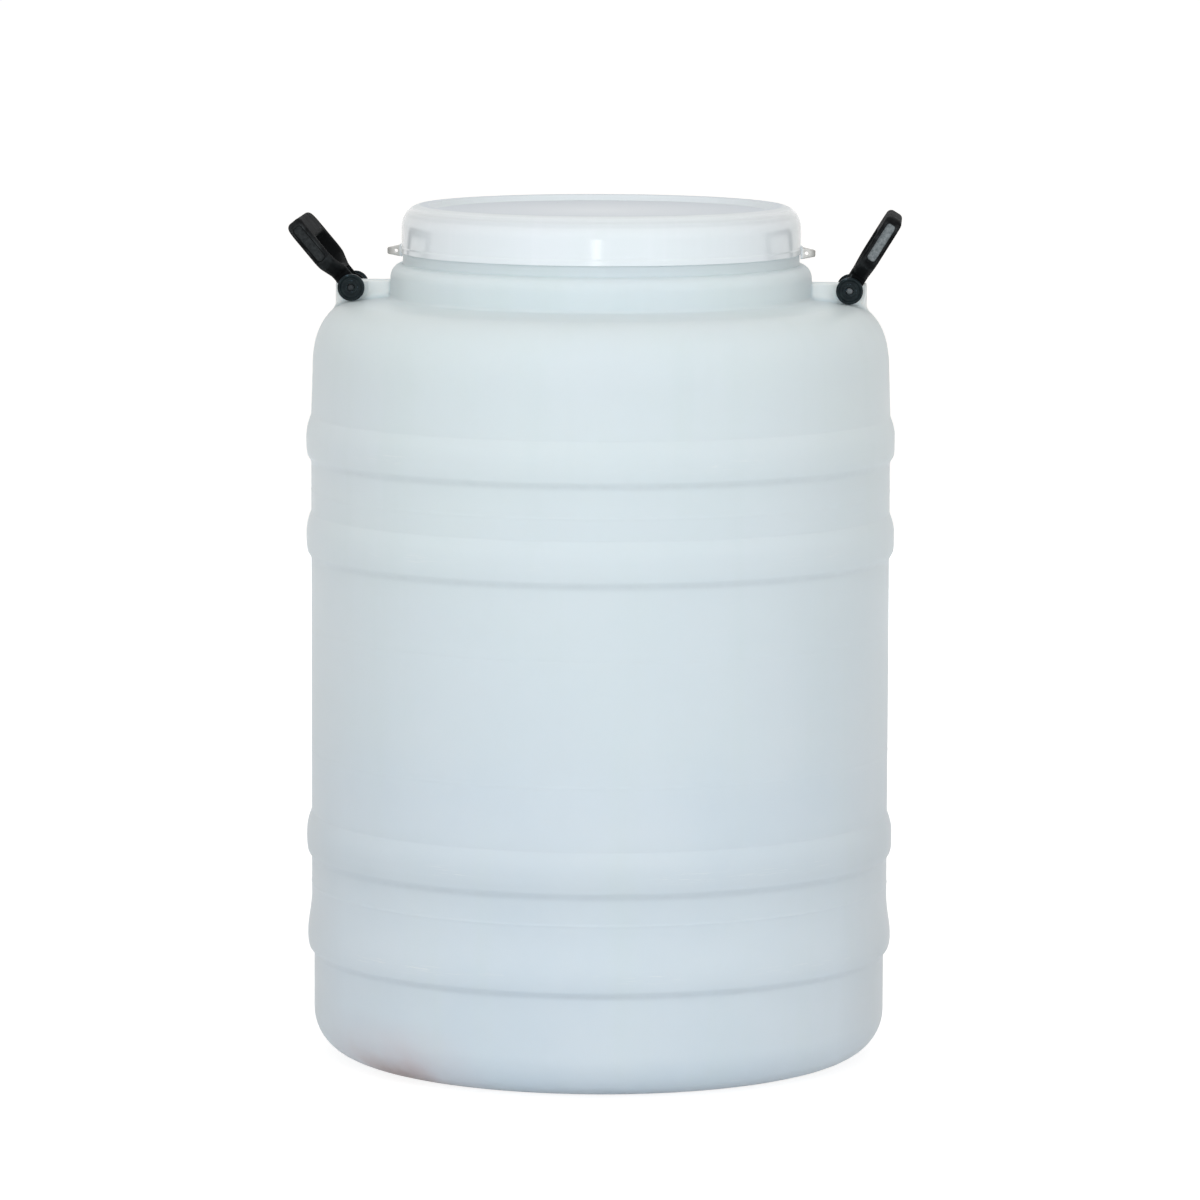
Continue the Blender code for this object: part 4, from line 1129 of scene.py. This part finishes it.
def pin_paint():
    """Dull steel, brushed round its axis and a little stained, with the left pin darkened as painted shade.
    """
    paint = Paint("dull_steel")
    stains = paint.span(paint.noise(320, 4, roughness=0.6), 0.42, 0.66)
    colour = paint.mix(stains, PIN_COLOUR, PIN_STAIN_COLOUR)
    brushed = paint.noise(1, 3, paint.stretched((900, 900, 8000)))
    # Painted shade darkens the left pin
    return paint.finish(
        Base_Color=paint.mix(paint.marked("pin_shade"), colour, PIN_SHADE_COLOUR),
        Metallic=1.0,
        Roughness=paint.span(brushed, 0.3, 0.7, 0.42, 0.58),
        Normal=paint.bump(paint.noise(2500, 2), 0.00003, 0.4),
    )


def plain_shader(tree, kind, **inputs):
    """Adds a shader node with these values."""
    node = tree.nodes.new(kind)
    for key, value in inputs.items():
        node.inputs[key].default_value = value
    return node.outputs[0]


def split_by_ray(tree, lit, seen, output):
    """One shader for light's own ways, and one for what is seen straight, reflected or through something."""
    path = tree.nodes.new("ShaderNodeLightPath")
    total = path.outputs["Is Camera Ray"]
    for name in ("Is Glossy Ray", "Is Transmission Ray"):
        larger = tree.nodes.new("ShaderNodeMath")
        larger.operation = "MAXIMUM"
        tree.links.new(total, larger.inputs[0])
        tree.links.new(path.outputs[name], larger.inputs[1])
        total = larger.outputs[0]
    choose = tree.nodes.new("ShaderNodeMixShader")
    for socket, source in zip(choose.inputs, (total, lit, seen)):
        tree.links.new(source, socket)
    tree.links.new(choose.outputs[0], tree.nodes.new(output).inputs[0])


def make_floor():
    """A plain white floor that keeps the soft shadow."""
    work = bmesh.new()
    bmesh.ops.create_circle(work, cap_ends=True, segments=SMALL_STEPS, radius=FLOOR_RADIUS)
    floor = add_object("studio_floor", written_mesh("studio_floor", work))
    floor.location = (0, 0, -FLOOR_GAP)
    material = bpy.data.materials.new("white_floor")
    material.use_nodes = True
    tree = material.node_tree
    tree.nodes.clear()
    lit = plain_shader(tree, "ShaderNodeBsdfDiffuse", Color=(*FLOOR_BOUNCE_COLOUR, 1))
    shaded = plain_shader(tree, "ShaderNodeBsdfDiffuse", Color=(*[FLOOR_SHADOW_SHARE] * 3, 1))
    glow = plain_shader(tree, "ShaderNodeEmission", Strength=1 - FLOOR_SHADOW_SHARE / 2)
    white = tree.nodes.new("ShaderNodeAddShader")
    tree.links.new(shaded, white.inputs[0])
    tree.links.new(glow, white.inputs[1])
    split_by_ray(tree, lit, white.outputs[0], "ShaderNodeOutputMaterial")
    floor.data.materials.append(material)


def make_surround():
    """Soft light from all round, and a white surround for the camera and for reflections."""
    world = bpy.data.worlds.new("studio")
    bpy.context.scene.world = world
    world.use_nodes = True
    tree = world.node_tree
    tree.nodes.clear()
    light = plain_shader(tree, "ShaderNodeBackground", Color=(*AMBIENT_COLOUR, 1), Strength=AMBIENT_STRENGTH)
    white = plain_shader(tree, "ShaderNodeBackground", Color=(1, 1, 1, 1))
    split_by_ray(tree, light, white, "ShaderNodeOutputWorld")


def make_lamp(name, azimuth, elevation, distance, size, watts, colour, shines):
    """A rectangular lamp aimed at the barrel's middle; azimuth 0 is in front."""
    across = math.radians(azimuth)
    up = math.radians(elevation)
    back = Vector((math.sin(across) * math.cos(up), -math.cos(across) * math.cos(up), math.sin(up)))
    data = bpy.data.lights.new(name, "AREA")
    data.shape = "RECTANGLE"
    data.size, data.size_y = size
    data.energy = watts
    data.color = colour
    lamp = add_object(name, data)
    lamp.visible_glossy = shines
    lamp.location = Vector((0, 0, LID_TOP / 2)) + back * distance
    lamp.rotation_mode = "QUATERNION"
    lamp.rotation_quaternion = (-back).to_track_quat("-Z", "Y")


def make_camera():
    """The photograph's camera: a long lens a little above the lid."""
    data = bpy.data.cameras.new("camera")
    data.sensor_width = CAMERA_SENSOR_MM
    data.lens = CAMERA_FOCAL_PIXELS / PHOTO_SIZE * CAMERA_SENSOR_MM
    data.clip_start, data.clip_end = CAMERA_CLIP
    camera = add_object("camera", data)
    across = math.radians(CAMERA_AZIMUTH)
    aside, back = CAMERA_DISTANCE * math.sin(across), CAMERA_DISTANCE * math.cos(across)
    camera.location = (aside, -back, CAMERA_HEIGHT)
    level = Matrix.Rotation(across, 4, "Z") @ Matrix.Rotation(math.radians(90 - CAMERA_PITCH), 4, "X")
    camera.rotation_mode = "QUATERNION"
    camera.rotation_quaternion = (level @ Matrix.Rotation(math.radians(CAMERA_ROLL), 4, "Z")).to_quaternion()
    bpy.context.scene.camera = camera


make_body(body_paint())
make_lid(lid_paint())
make_gasket(gasket_paint())
handle_material = handle_paint()
make_handle("left_handle", -1, LEFT_LEAN, handle_material)
make_handle("right_handle", 1, RIGHT_LEAN, handle_material)
make_pins_and_caps(pin_paint(), cap_paint())
make_floor()
make_surround()
make_camera()
for lamp in LAMPS:
    make_lamp(*lamp)
bpy.context.scene.view_settings.view_transform = "Standard"
